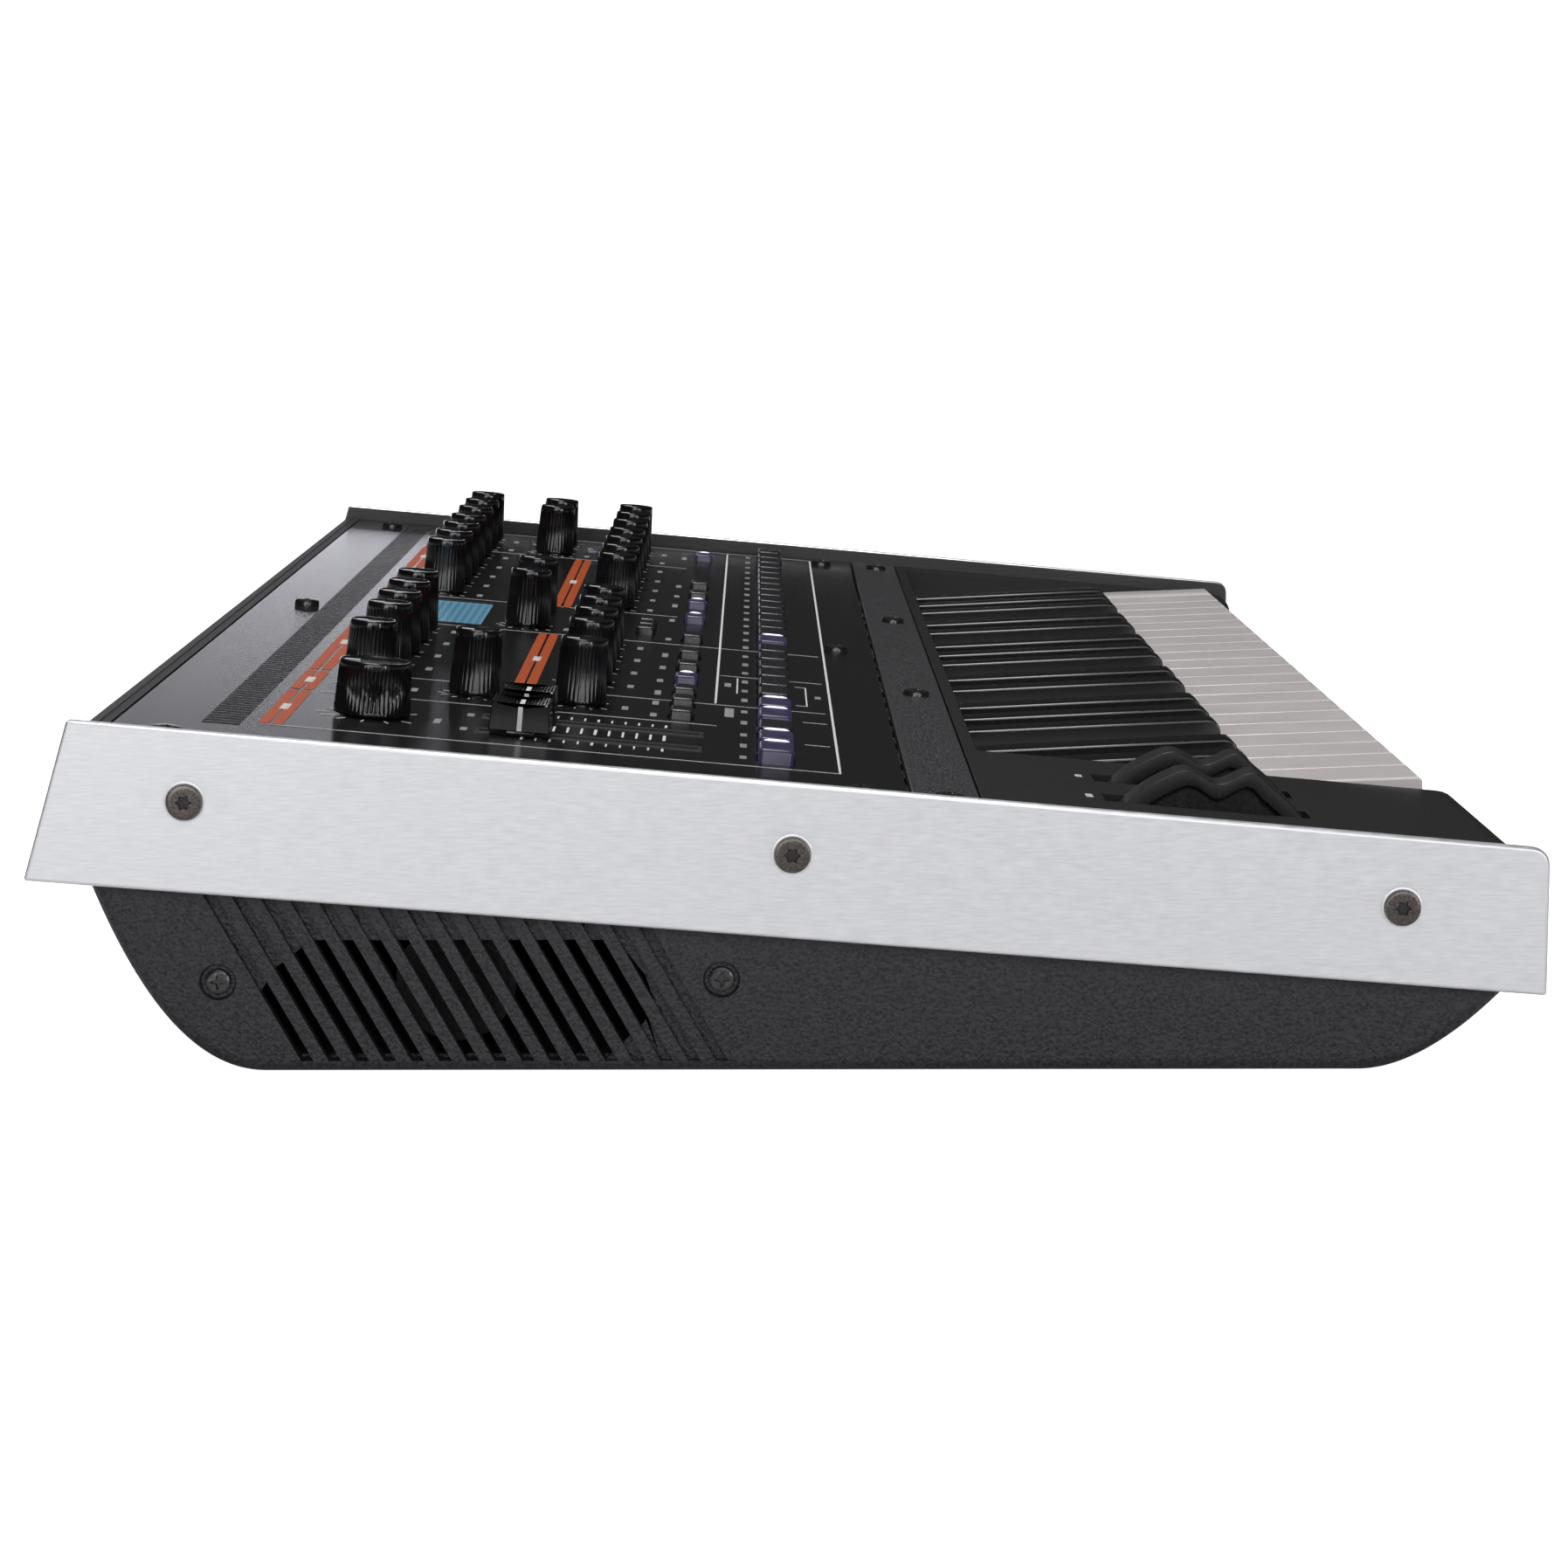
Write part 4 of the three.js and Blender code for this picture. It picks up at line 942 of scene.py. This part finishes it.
STEP_PITCH = 18.2
STEP_FIRST = -9
STEP_COUNT = 16
step_columns = [STEP_FIRST + STEP_PITCH * i for i in range(STEP_COUNT)]
SCENE_COLUMNS = (-224, -205.3, -187.3, -166, -146.2, -124.2, -105.8, -87, -68.4, -49.5, -30.8)
FUNCTION_COLUMNS = (-165.6, -143.4, -123.4, -99, -71.2, -43.4, -5, 44, 85, 113, 143.8, 240)
CURSOR_COLUMNS = (4, 15, 26)
ROW_OF = {"step": 2, "function": 23.1, "cursor": 35.6}


def caption(x, s, blocks, height=1.5, block_width=0.7):
    """A row of plain blocks in the place of a word."""
    pitch = block_width + 0.5
    start = x - pitch * (blocks - 1) / 2
    return [(start + pitch * i, s, block_width, height, 0) for i in range(blocks)]


captions = []
for i, (x, s) in enumerate(fixed_knobs):
    captions += caption(x, s - 10.3, 5 + (i * 3) % 3)
for i, x in enumerate(FUNCTION_COLUMNS):
    captions += caption(x, 29.3, 5 + i % 3)
for i, x in enumerate(SCENE_COLUMNS + tuple(step_columns)):
    captions += caption(x, 8.9, 4 + i % 2)
for x in FADER_X:
    captions += caption(x, 68.4, 4)
captions += caption(-150, 12.3, 9, 2.1, 1.3)
captions += caption(-96, 13, 6, 1.6)
captions += caption(-107, -8.6, 4, 1.4)
captions += caption(VOLUME_SPOT[0], 74.6, 6)
caption_ink = ink("caption_ink", (0.3, 0.3, 0.3), (0.42, 0.42, 0.42), 0.5)
printed("captions", captions, caption_ink)

# ---- Fader channels ----
# Each fader runs in a slot of the panel. A thin liner of black plastic is pressed into the
# slot, and its lip lies on the paint.
liner_plastic = grained(
    "liner_plastic", (0.008, 0.008, 0.009), 0.5, grain_of=(1800, 3),
    tints=((0.005, 0.005, 0.006), (0.014, 0.014, 0.015)), rough=(0.42, 0.6),
)
SLOT_FRONT, SLOT_REAR, SLOT_HALF = 18.6, 65, 2.3
LINER_GAP = 0.12
for name, x in zip(("left", "right"), FADER_X):
    rings = []
    for grow, z in ((1.15, 0.02), (1.0, 0.22), (0.15, 0.22), (0, 0.0), (0, -1.55)):
        half_width = SLOT_HALF - LINER_GAP + grow
        half_length = (SLOT_REAR - SLOT_FRONT) / 2 - LINER_GAP + grow
        middle = (SLOT_FRONT + SLOT_REAR) / 2
        rings.append([
            deck @ Vector(((x + a * half_width) * mm, (middle + b * half_length) * mm, z * mm))
            for a, b in ((1, 1), (-1, 1), (-1, -1), (1, -1))
        ])
    channel = skinned(f"fader_liner_{name}", rings, ends=False)
    solid = channel.modifiers.new("thickness", "SOLIDIFY")
    solid.thickness = 0.1 * mm
    solid.offset = -1
    settle(shaded(worked_out(channel)), liner_plastic, "root", "matte_plastic")

# ---- Knob board ----
# A green board hangs under the panel and carries the potentiometers. The small knobs are
# pressed on their shafts, and all of these ride with the instrument.
board_green = grained(
    "circuit_board", (0.02, 0.11, 0.05), 0.45, grain_of=(350, 2, (1, 0.15, 1)),
    tints=((0.012, 0.08, 0.035), (0.03, 0.16, 0.075), (0.45, 0.55)), rough=(0.35, 0.55),
)
BOARD_DROP = 10.4
BOARD_THICKNESS = 1.6
board = block("knob_board_green", (-238 * mm, 0.6 * mm, -(BOARD_DROP + BOARD_THICKNESS) * mm),
              (273 * mm, 103.4 * mm, -BOARD_DROP * mm))
board.data.transform(deck)
settle(shaded(eased(board, 0.2 * mm, 1)), board_green, "root", "circuit_board", "knob_board")

steel = grained(
    "steel", (0.55, 0.55, 0.56), 0.32, 1.0, grain_of=(1200, 3),
    tints=((0.45, 0.45, 0.46), (0.62, 0.62, 0.63)), rough=(0.22, 0.42),
)
pot = eased(block("pot", (-5 * mm, -5.5 * mm, -BOARD_DROP * mm), (5 * mm, 5.5 * mm, -4.2 * mm)),
            0.6 * mm)
pot_places = deck_places([*fixed_knobs, VOLUME_SPOT, VALUE_SPOT])
settle(copies("potentiometers", shaded(pot), pot_places, steel), None, "root", "steel")
shaft = turned("shaft", [(3, -5), (3, 1.5)], 20)
knob_places = deck_places(fixed_knobs)
settle(copies("knob_shafts", shaded(shaft, 40), knob_places, steel), None, "root", "steel")

# ---- Small knobs ----
# Moulded knobs in gloss black, fluted up to a plain crown, with a white line
# let into the top. One is the value knob, which turns.
gloss = grained(
    "gloss_black", (0.006, 0.006, 0.007), 0.2, grain_of=(120, 3),
    tints=((0.004, 0.004, 0.005), (0.009, 0.009, 0.01)), rough=(0.13, 0.19),
)


def fluted_knob(name, base, top, height, flutes, depth, crown, lift=0.4):
    """A knob that stands on the deck, with so many flutes below a plain crown."""
    per_flute = 4
    steps = flutes * per_flute

    def radius_at(z):
        return base + (top - base) * (z - lift) / (height - lift)

    levels = [
        (lift, radius_at(lift) - 0.35, 0),
        (lift + 0.25, radius_at(lift), 0),
        (lift + 0.9, radius_at(lift + 0.9), 0),
        (lift + 1.15, radius_at(lift + 1.15), depth),
        ((lift + height) / 2, radius_at((lift + height) / 2), depth),
        (height - crown - 0.25, radius_at(height - crown), depth),
        (height - crown, radius_at(height - crown), 0),
        (height - 0.35, radius_at(height - 0.35), 0),
        (height - 0.1, top - 0.09, 0),
        (height, top - 0.3, 0),
        (height, top - 0.55, 0),
        (height - 0.3, top - 0.8, 0),
        (height - 0.3, 1.0, 0),
    ]
    rings = []
    for z, r, cut in levels:
        ring = []
        for i in range(steps):
            angle = 2 * math.pi * i / steps
            wave = (0.5 - 0.5 * math.cos(2 * math.pi * i / per_flute)) * cut
            ring.append(((r - wave) * mm * math.cos(angle),
                         (r - wave) * mm * math.sin(angle), z * mm))
        rings.append(ring)
    return shaded(skinned(name, rings), 60)


def pointer_line(name, start, end, z, width=0.7):
    line_block = block(name, (-width / 2 * mm, start * mm, (z - 0.3) * mm),
                       (width / 2 * mm, end * mm, z * mm))
    return eased(line_block, 0.08 * mm, 1)


KNOB = {"base": 6, "top": 5.25, "height": 15.2}
small_knob = fluted_knob("small_knob", **KNOB, flutes=36, depth=0.22, crown=2.0)
small_pointer = pointer_line("small_pointer", 1.2, 4.0, KNOB["height"] - 0.16, 0.6)
value_place = deck_places([VALUE_SPOT])
pointer_ink = ink("pointer_ink", (0.5, 0.5, 0.5), (0.6, 0.6, 0.6), 0.5)
settle(copies("small_knobs", small_knob, knob_places, gloss, keep=True),
       None, "root", "gloss_black")
settle(copies("small_knob_pointers", small_pointer, knob_places, pointer_ink, keep=True),
       None, "root", "panel_black")
settle(copies("value_knob_fluted", small_knob, value_place, gloss),
       None, "value_knob", "gloss_black", "value_knob")
settle(copies("value_knob_pointer", small_pointer, value_place, pointer_ink),
       None, "value_knob", "panel_black")

# ---- Volume knob ----
# A wider, lower knob in the same gloss black, with fine knurling under its crown. It is
# pressed on the shaft of its own potentiometer.
VOLUME_KNOB = {"base": 8.25, "top": 7.65, "height": 12}
volume_place = deck_places([VOLUME_SPOT])
volume_knob = fluted_knob("volume", **VOLUME_KNOB, flutes=52, depth=0.3, crown=1.7)
settle(copies("volume_knob_knurled", volume_knob, volume_place, gloss),
       None, "volume_knob", "gloss_black", "volume_knob")
volume_pointer = pointer_line("volume_pointer", 3.2, 6.6, VOLUME_KNOB["height"] - 0.16, 0.8)
settle(copies("volume_knob_pointer", volume_pointer, volume_place, pointer_ink),
       None, "volume_knob", "panel_black")

# ---- Faders ----
# Each cap is a black moulding with a dished, ribbed top and a white line over its middle, on
# a flat stem that goes down through the slot.
CAP_WIDTH, CAP_DEPTH, CAP_EDGE, CAP_VALLEY, CAP_LIFT = 12.7, 13, 7.5, 6.4, 1.1
FADER_REST = 56.4
RIB_PITCH = 0.75
RIB_HEIGHT = 0.26


def cap_profile():
    """Side view of a cap: up the front, over the ribbed dish, down the back."""
    reach = CAP_DEPTH / 2
    points = [(-reach, CAP_LIFT), (reach, CAP_LIFT), (reach - 0.45, CAP_EDGE - 0.25),
              (reach - 0.75, CAP_EDGE)]
    edge = reach - 0.9
    ribs = int(edge / RIB_PITCH)
    for side in (1, -1):
        span = []
        for i in range(ribs):
            at = 1.0 + RIB_PITCH * i
            for offset, rise in ((0, 0), (0.14, RIB_HEIGHT), (0.34, RIB_HEIGHT), (0.48, 0)):
                s = at + offset
                if s < edge:
                    dish = CAP_VALLEY + (CAP_EDGE - RIB_HEIGHT - CAP_VALLEY) * (s / edge) ** 1.4
                    span.append((side * s, dish + rise))
        points += reversed(span) if side == 1 else span
    points += [(-reach + 0.75, CAP_EDGE), (-reach + 0.45, CAP_EDGE - 0.25)]
    return points


for name, x in zip(("fader_left", "fader_right"), FADER_X):
    profile = [(s * mm, z * mm) for s, z in cap_profile()]
    half_cap = CAP_WIDTH / 2
    cap = loft(name + "_cap", [
        (-half_cap * mm, drawn_in(profile, 0.22 * mm)),
        (-(half_cap - 0.25) * mm, profile),
        ((half_cap - 0.25) * mm, profile),
        (half_cap * mm, drawn_in(profile, 0.22 * mm)),
    ])
    stem = eased(block("stem", (-1.5 * mm, -3 * mm, -9 * mm), (1.5 * mm, 3 * mm, 2 * mm)), 0.2 * mm)
    fader = merged(name + "_moulding", [cap, stem])
    place = on_deck(x * mm, FADER_REST * mm)
    fader.data.transform(place)
    settle(shaded(fader, 25), gloss, name, "gloss_black", name)
    stripes = merged(name + "_line", [
        block("top", (-half_cap * mm, -0.5 * mm, (CAP_VALLEY - 0.5) * mm),
              (half_cap * mm, 0.5 * mm, (CAP_VALLEY + 0.12) * mm)),
        block("near", (-(half_cap + 0.04) * mm, -0.5 * mm, (CAP_LIFT + 0.2) * mm),
              (-(half_cap - 0.5) * mm, 0.5 * mm, (CAP_VALLEY + 0.06) * mm)),
        block("far", ((half_cap - 0.5) * mm, -0.5 * mm, (CAP_LIFT + 0.2) * mm),
              ((half_cap + 0.04) * mm, 0.5 * mm, (CAP_VALLEY + 0.06) * mm)),
    ])
    stripes.data.transform(place)
    settle(stripes, white_ink, name, "panel_black")

# ---- Push buttons ----
# One silicone mat carries every button up through the panel: long step and scene buttons,
# small function buttons and three cursor buttons. Some are lit violet from inside.
BUTTON_FOOT = -8.0


def button_cap(name, width, depth, height, corner, crown=0.25):
    """A button with rounded corners, crowned a little, that reaches down to the mat."""
    corner_steps = 5

    def outline(inset):
        points = []
        for a, b, start in ((1, 1, 0), (-1, 1, 90), (-1, -1, 180), (1, -1, 270)):
            for k in range(corner_steps + 1):
                angle = math.radians(start + 90 * k / corner_steps)
                r = max(corner - inset, 0.1)
                points.append((a * (width / 2 - inset - r) + r * math.cos(angle),
                               b * (depth / 2 - inset - r) + r * math.sin(angle)))
        return points

    levels = [(0, BUTTON_FOOT), (0, height - 0.7), (0.12, height - 0.35), (0.4, height - 0.12),
              (0.8, height - 0.02), (1.4, height + crown * 0.3)]
    rings = [[(x * mm, y * mm, z * mm) for x, y in outline(inset)] for inset, z in levels]
    return shaded(skinned(name, rings), 50)


BUTTON_SIZES = {"step": (14.6, 7.4, 3.2), "function": (8.5, 5.2, 2.2), "cursor": (7, 4.6, 2.2)}
button_spots = {
    "step": [*SCENE_COLUMNS, *step_columns],
    "function": FUNCTION_COLUMNS,
    "cursor": CURSOR_COLUMNS,
}
LIT = {"step": (-224, -205.3, -166, -146.2, -9), "function": (-99, 44, 85, 240), "cursor": ()}
silicone = grained(
    "button_silicone", (0.012, 0.012, 0.014), 0.3, grain_of=(1500, 3),
    tints=((0.008, 0.008, 0.01), (0.02, 0.02, 0.023)), rough=(0.22, 0.4),
)
lit_silicone, lit_shader = new_material("button_lit", (0.02, 0.017, 0.035), 0.3)
lit_grain = grain(lit_silicone, 260, 2)
tint(lit_silicone, lit_grain, lit_shader.inputs["Emission Color"],
     (0.12, 0.09, 0.32), (0.3, 0.25, 0.62))
lit_shader.inputs["Emission Strength"].default_value = 0.09
glow, glow_shader = new_material("light_bar", (0.9, 0.88, 1), 0.3)
glow_grain = grain(glow, 300, 2)
tint(glow, glow_grain, glow_shader.inputs["Emission Color"], (0.75, 0.7, 1), (1, 1, 1))
glow_shader.inputs["Emission Strength"].default_value = 1.3
for kind, (width, depth, height) in BUTTON_SIZES.items():
    cap = button_cap(kind, width, depth, height, 1.1 if kind == "step" else 0.8)
    row = ROW_OF[kind] * mm
    dark = [on_deck(x * mm, row) for x in button_spots[kind] if x not in LIT[kind]]
    lit = [on_deck(x * mm, row) for x in LIT[kind]]
    nodes = ["button_mat"] if kind == "step" else []
    settle(copies(f"{kind}_buttons", cap, dark, silicone, keep=bool(lit)),
           None, "button_mat", "button_plastic", *nodes)
    if lit:
        settle(copies(f"{kind}_buttons_lit", cap, lit, lit_silicone),
               None, "button_mat", "button_plastic")
        bar = button_cap("bar", 0.55, depth - 1.2, height + 0.12, 0.25)
        bars = [on_deck((x + width / 2 - 0.6) * mm, row) for x in LIT[kind]]
        settle(copies(f"{kind}_light_bars", bar, bars, glow),
               None, "button_mat", "button_plastic")
mat_webs = []
for kind in BUTTON_SIZES:
    width, depth, _ = BUTTON_SIZES[kind]
    low, high = min(button_spots[kind]), max(button_spots[kind])
    mat_webs.append(block("web", ((low - width / 2 - 3) * mm, (ROW_OF[kind] - depth / 2 - 3) * mm,
                                  -9.5 * mm),
                          ((high + width / 2 + 3) * mm, (ROW_OF[kind] + depth / 2 + 3) * mm,
                           -8 * mm)))
mat_sheet = merged("button_mat_sheet", [eased(web, 0.3 * mm, 2) for web in mat_webs])
mat_sheet.data.transform(deck)
settle(shaded(mat_sheet), silicone, "button_mat", "button_plastic")

# ---- Indicator lamps ----
# Small square lamps with a violet glow, two ahead of the display and one at the player's
# right. They are set in the panel, so the buttons leave them behind.
LAMP_SPOTS = ((236, 58.5), (22, 46.5), (36, 46.5))
lamp_cap = button_cap("lamp", 4.2, 3.4, 0.5, 0.5)
settle(copies("indicator_lamps", lamp_cap, deck_places(LAMP_SPOTS), lit_silicone),
       None, "root", "button_plastic")

# ---- Display ----
# A backlit glass window, sunk a little below the panel. It shows a plain blue field of soft
# bands, with no wording.
DISPLAY = {"left": -9, "right": 48, "front": 78.7, "rear": 104.5, "sink": 0.4}
glass, glass_shader = new_material("display_glass", (0.02, 0.05, 0.07), 0.08)
glass_nodes, glass_links = glass.node_tree.nodes, glass.node_tree.links
glass_place = glass_nodes.new("ShaderNodeTexCoord")
glass_map = glass_nodes.new("ShaderNodeMapping")
display_width = (DISPLAY["right"] - DISPLAY["left"]) * mm
glass_map.inputs["Scale"].default_value = (1 / display_width, 1 / display_width, 1)
glass_wave = glass_nodes.new("ShaderNodeTexWave")
glass_wave.wave_type = "BANDS"
glass_wave.bands_direction = "Y"
glass_wave.inputs["Scale"].default_value = 9
glass_wave.inputs["Distortion"].default_value = 0
glass_links.new(glass_place.outputs["Object"], glass_map.inputs["Vector"])
glass_links.new(glass_map.outputs["Vector"], glass_wave.inputs["Vector"])
tint(glass, glass_wave.outputs["Fac"], glass_shader.inputs["Emission Color"],
     (0.07, 0.2, 0.3), (0.13, 0.29, 0.4), (0.1, 0.95))
glass_shader.inputs["Emission Strength"].default_value = 0.75
window = block("display_window", (DISPLAY["left"] * mm, DISPLAY["front"] * mm, -4 * mm),
               (DISPLAY["right"] * mm, DISPLAY["rear"] * mm, -DISPLAY["sink"] * mm))
window.data.transform(deck)
settle(shaded(eased(window, 0.25 * mm, 2)), glass, "root", "display_glass", "display")

# ---- Keyboard surround ----
# One matt black moulding makes the wheel block, the slip under the keys, the right cheek and
# the bar behind the keys.
matt = grained(
    "matte_plastic", (0.011, 0.011, 0.012), 0.5, grain_of=(2200, 3),
    tints=((0.008, 0.008, 0.009), (0.015, 0.015, 0.016)), rough=(0.45, 0.6),
    bumps=(0.04 * mm, 0.3), specular=0.3,
)
settle(shaded(refined("keyboard_surround", "keyboard_surround_matt", 0.3 * mm)), matt,
       "root", "matte_plastic", "keyboard_surround")
wheel_captions = caption(-236.3, -63.4, 4) + caption(-206.7, -63.4, 3)
printed("wheel_captions", wheel_captions, white_ink)

# ---- Wheels ----
# Two moulded wheels on one steel axle. Each has a soft textured rim with two crests and a
# finger dip, proud of its web on both sides.
grip = grained(
    "wheel_grip", (0.012, 0.012, 0.012), 0.55, grain_of=(1700, 2),
    tints=((0.008, 0.008, 0.008), (0.02, 0.02, 0.02)), rough=(0.42, 0.62), bumps=(0.1 * mm, 0.4),
    specular=0.35,
)
WHEEL_RADIUS = 23.8
WHEEL_REST_TURN = -0.1
AXLE_BORE = 2.4
axle_low, axle_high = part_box("wheel_axle")
axle_y, axle_z = (axle_low.y + axle_high.y) / 2, (axle_low.z + axle_high.z) / 2


def rim_radius(turn):
    """Reach of the rim at a turn from straight up, towards the back."""
    along = turn - WHEEL_REST_TURN
    front_crest = 1.45 * math.exp(-(((along + 0.295) / 0.13) ** 2))
    rear_crest = 0.55 * math.exp(-(((along - 0.295) / 0.14) ** 2))
    dip = 2.95 * math.exp(-((along / 0.2) ** 2))
    return WHEEL_RADIUS + front_crest + rear_crest - dip


def wheel_body(name, x):
    steps = 240
    half_section = [
        (3.3, None), (3.3, 4.4), (3.45, 3.9), (3.9, 3.5), (4.6, 3.3), (4.9, 3.15), (5, 2.9), (5, 0.4),
        (4.93, 0.18), (4.8, 0.05), (4.6, 0), (3.7, -0.06), (2, -0.12),
    ]
    section = [(-a, b) for a, b in half_section] + [(a, b) for a, b in reversed(half_section)]
    rings = []
    for across, inset in section:
        ring = []
        for i in range(steps):
            turn = 2 * math.pi * i / steps - math.pi
            r = AXLE_BORE if inset is None else rim_radius(turn) - inset
            ring.append((x + across * mm, axle_y + r * mm * math.sin(turn),
                         axle_z + r * mm * math.cos(turn)))
        rings.append(ring)
    return shaded(skinned(name, rings, hoop=True), 32)


for name in ("pitch_wheel", "mod_wheel"):
    low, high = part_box(name)
    wheel = wheel_body(name + "_grip", (low.x + high.x) / 2)
    settle(wheel, grip, name, "matte_plastic", name)
    index = loft(name + "_index", [
        (x, [(axle_y + r * mm * math.sin(t), axle_z + r * mm * math.cos(t)) for r, t in (
            (14.4, -0.1), (14.4, 0.02), (14.4, 0.14), (14.9, 0.14), (14.9, 0.02), (14.9, -0.1))])
        for x in ((low.x + high.x) / 2 - 3.42 * mm, (low.x + high.x) / 2 - 3.2 * mm)
    ])
    settle(shaded(index), white_ink, name, "panel_black")
coat_node("wheel_axle", steel)

# ---- Key bed and main board ----
# Inside the case, the grey painted frame that the keys rock on and the main board on its
# posts. Both keep their modelled shapes.
frame_grey = grained(
    "frame_grey", (0.1, 0.105, 0.11), 0.6, grain_of=(800, 3),
    tints=((0.08, 0.085, 0.09), (0.13, 0.135, 0.14)), bumps=(0.1 * mm, 0.3),
)
coat_node("key_bed", frame_grey)
coat_node("main_board", board_green)

# ---- Keys ----
# Slim moulded keys, satin warm white and satin black, each a shell with eased edges that
# rocks by its tail on the key bed.
ivory, ivory_shader = new_material("key_white", (0.7, 0.66, 0.65), 0.24)
ivory_grain = grain(ivory, 60, 4)
tint(ivory, ivory_grain, ivory_shader.inputs["Base Color"], (0.72, 0.67, 0.665), (0.79, 0.745, 0.735))
spread(ivory, grain(ivory, 1500, 2), ivory_shader.inputs["Roughness"], 0.15, 0.21)
ebony = grained(
    "key_black", (0.007, 0.007, 0.008), 0.25, grain_of=(1900, 3),
    tints=((0.005, 0.005, 0.006), (0.01, 0.01, 0.011)), rough=(0.17, 0.25),
)
for node in sorted(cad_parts):
    if not node.startswith("key_") or node == "key_bed":
        continue
    sharp = "_sharp" in node
    key = refined(node, node + "_eased", (0.6 if sharp else 0.55) * mm, 3)
    settle(shaded(key), ebony if sharp else ivory, node, "key_black" if sharp else "key_white",
           node)
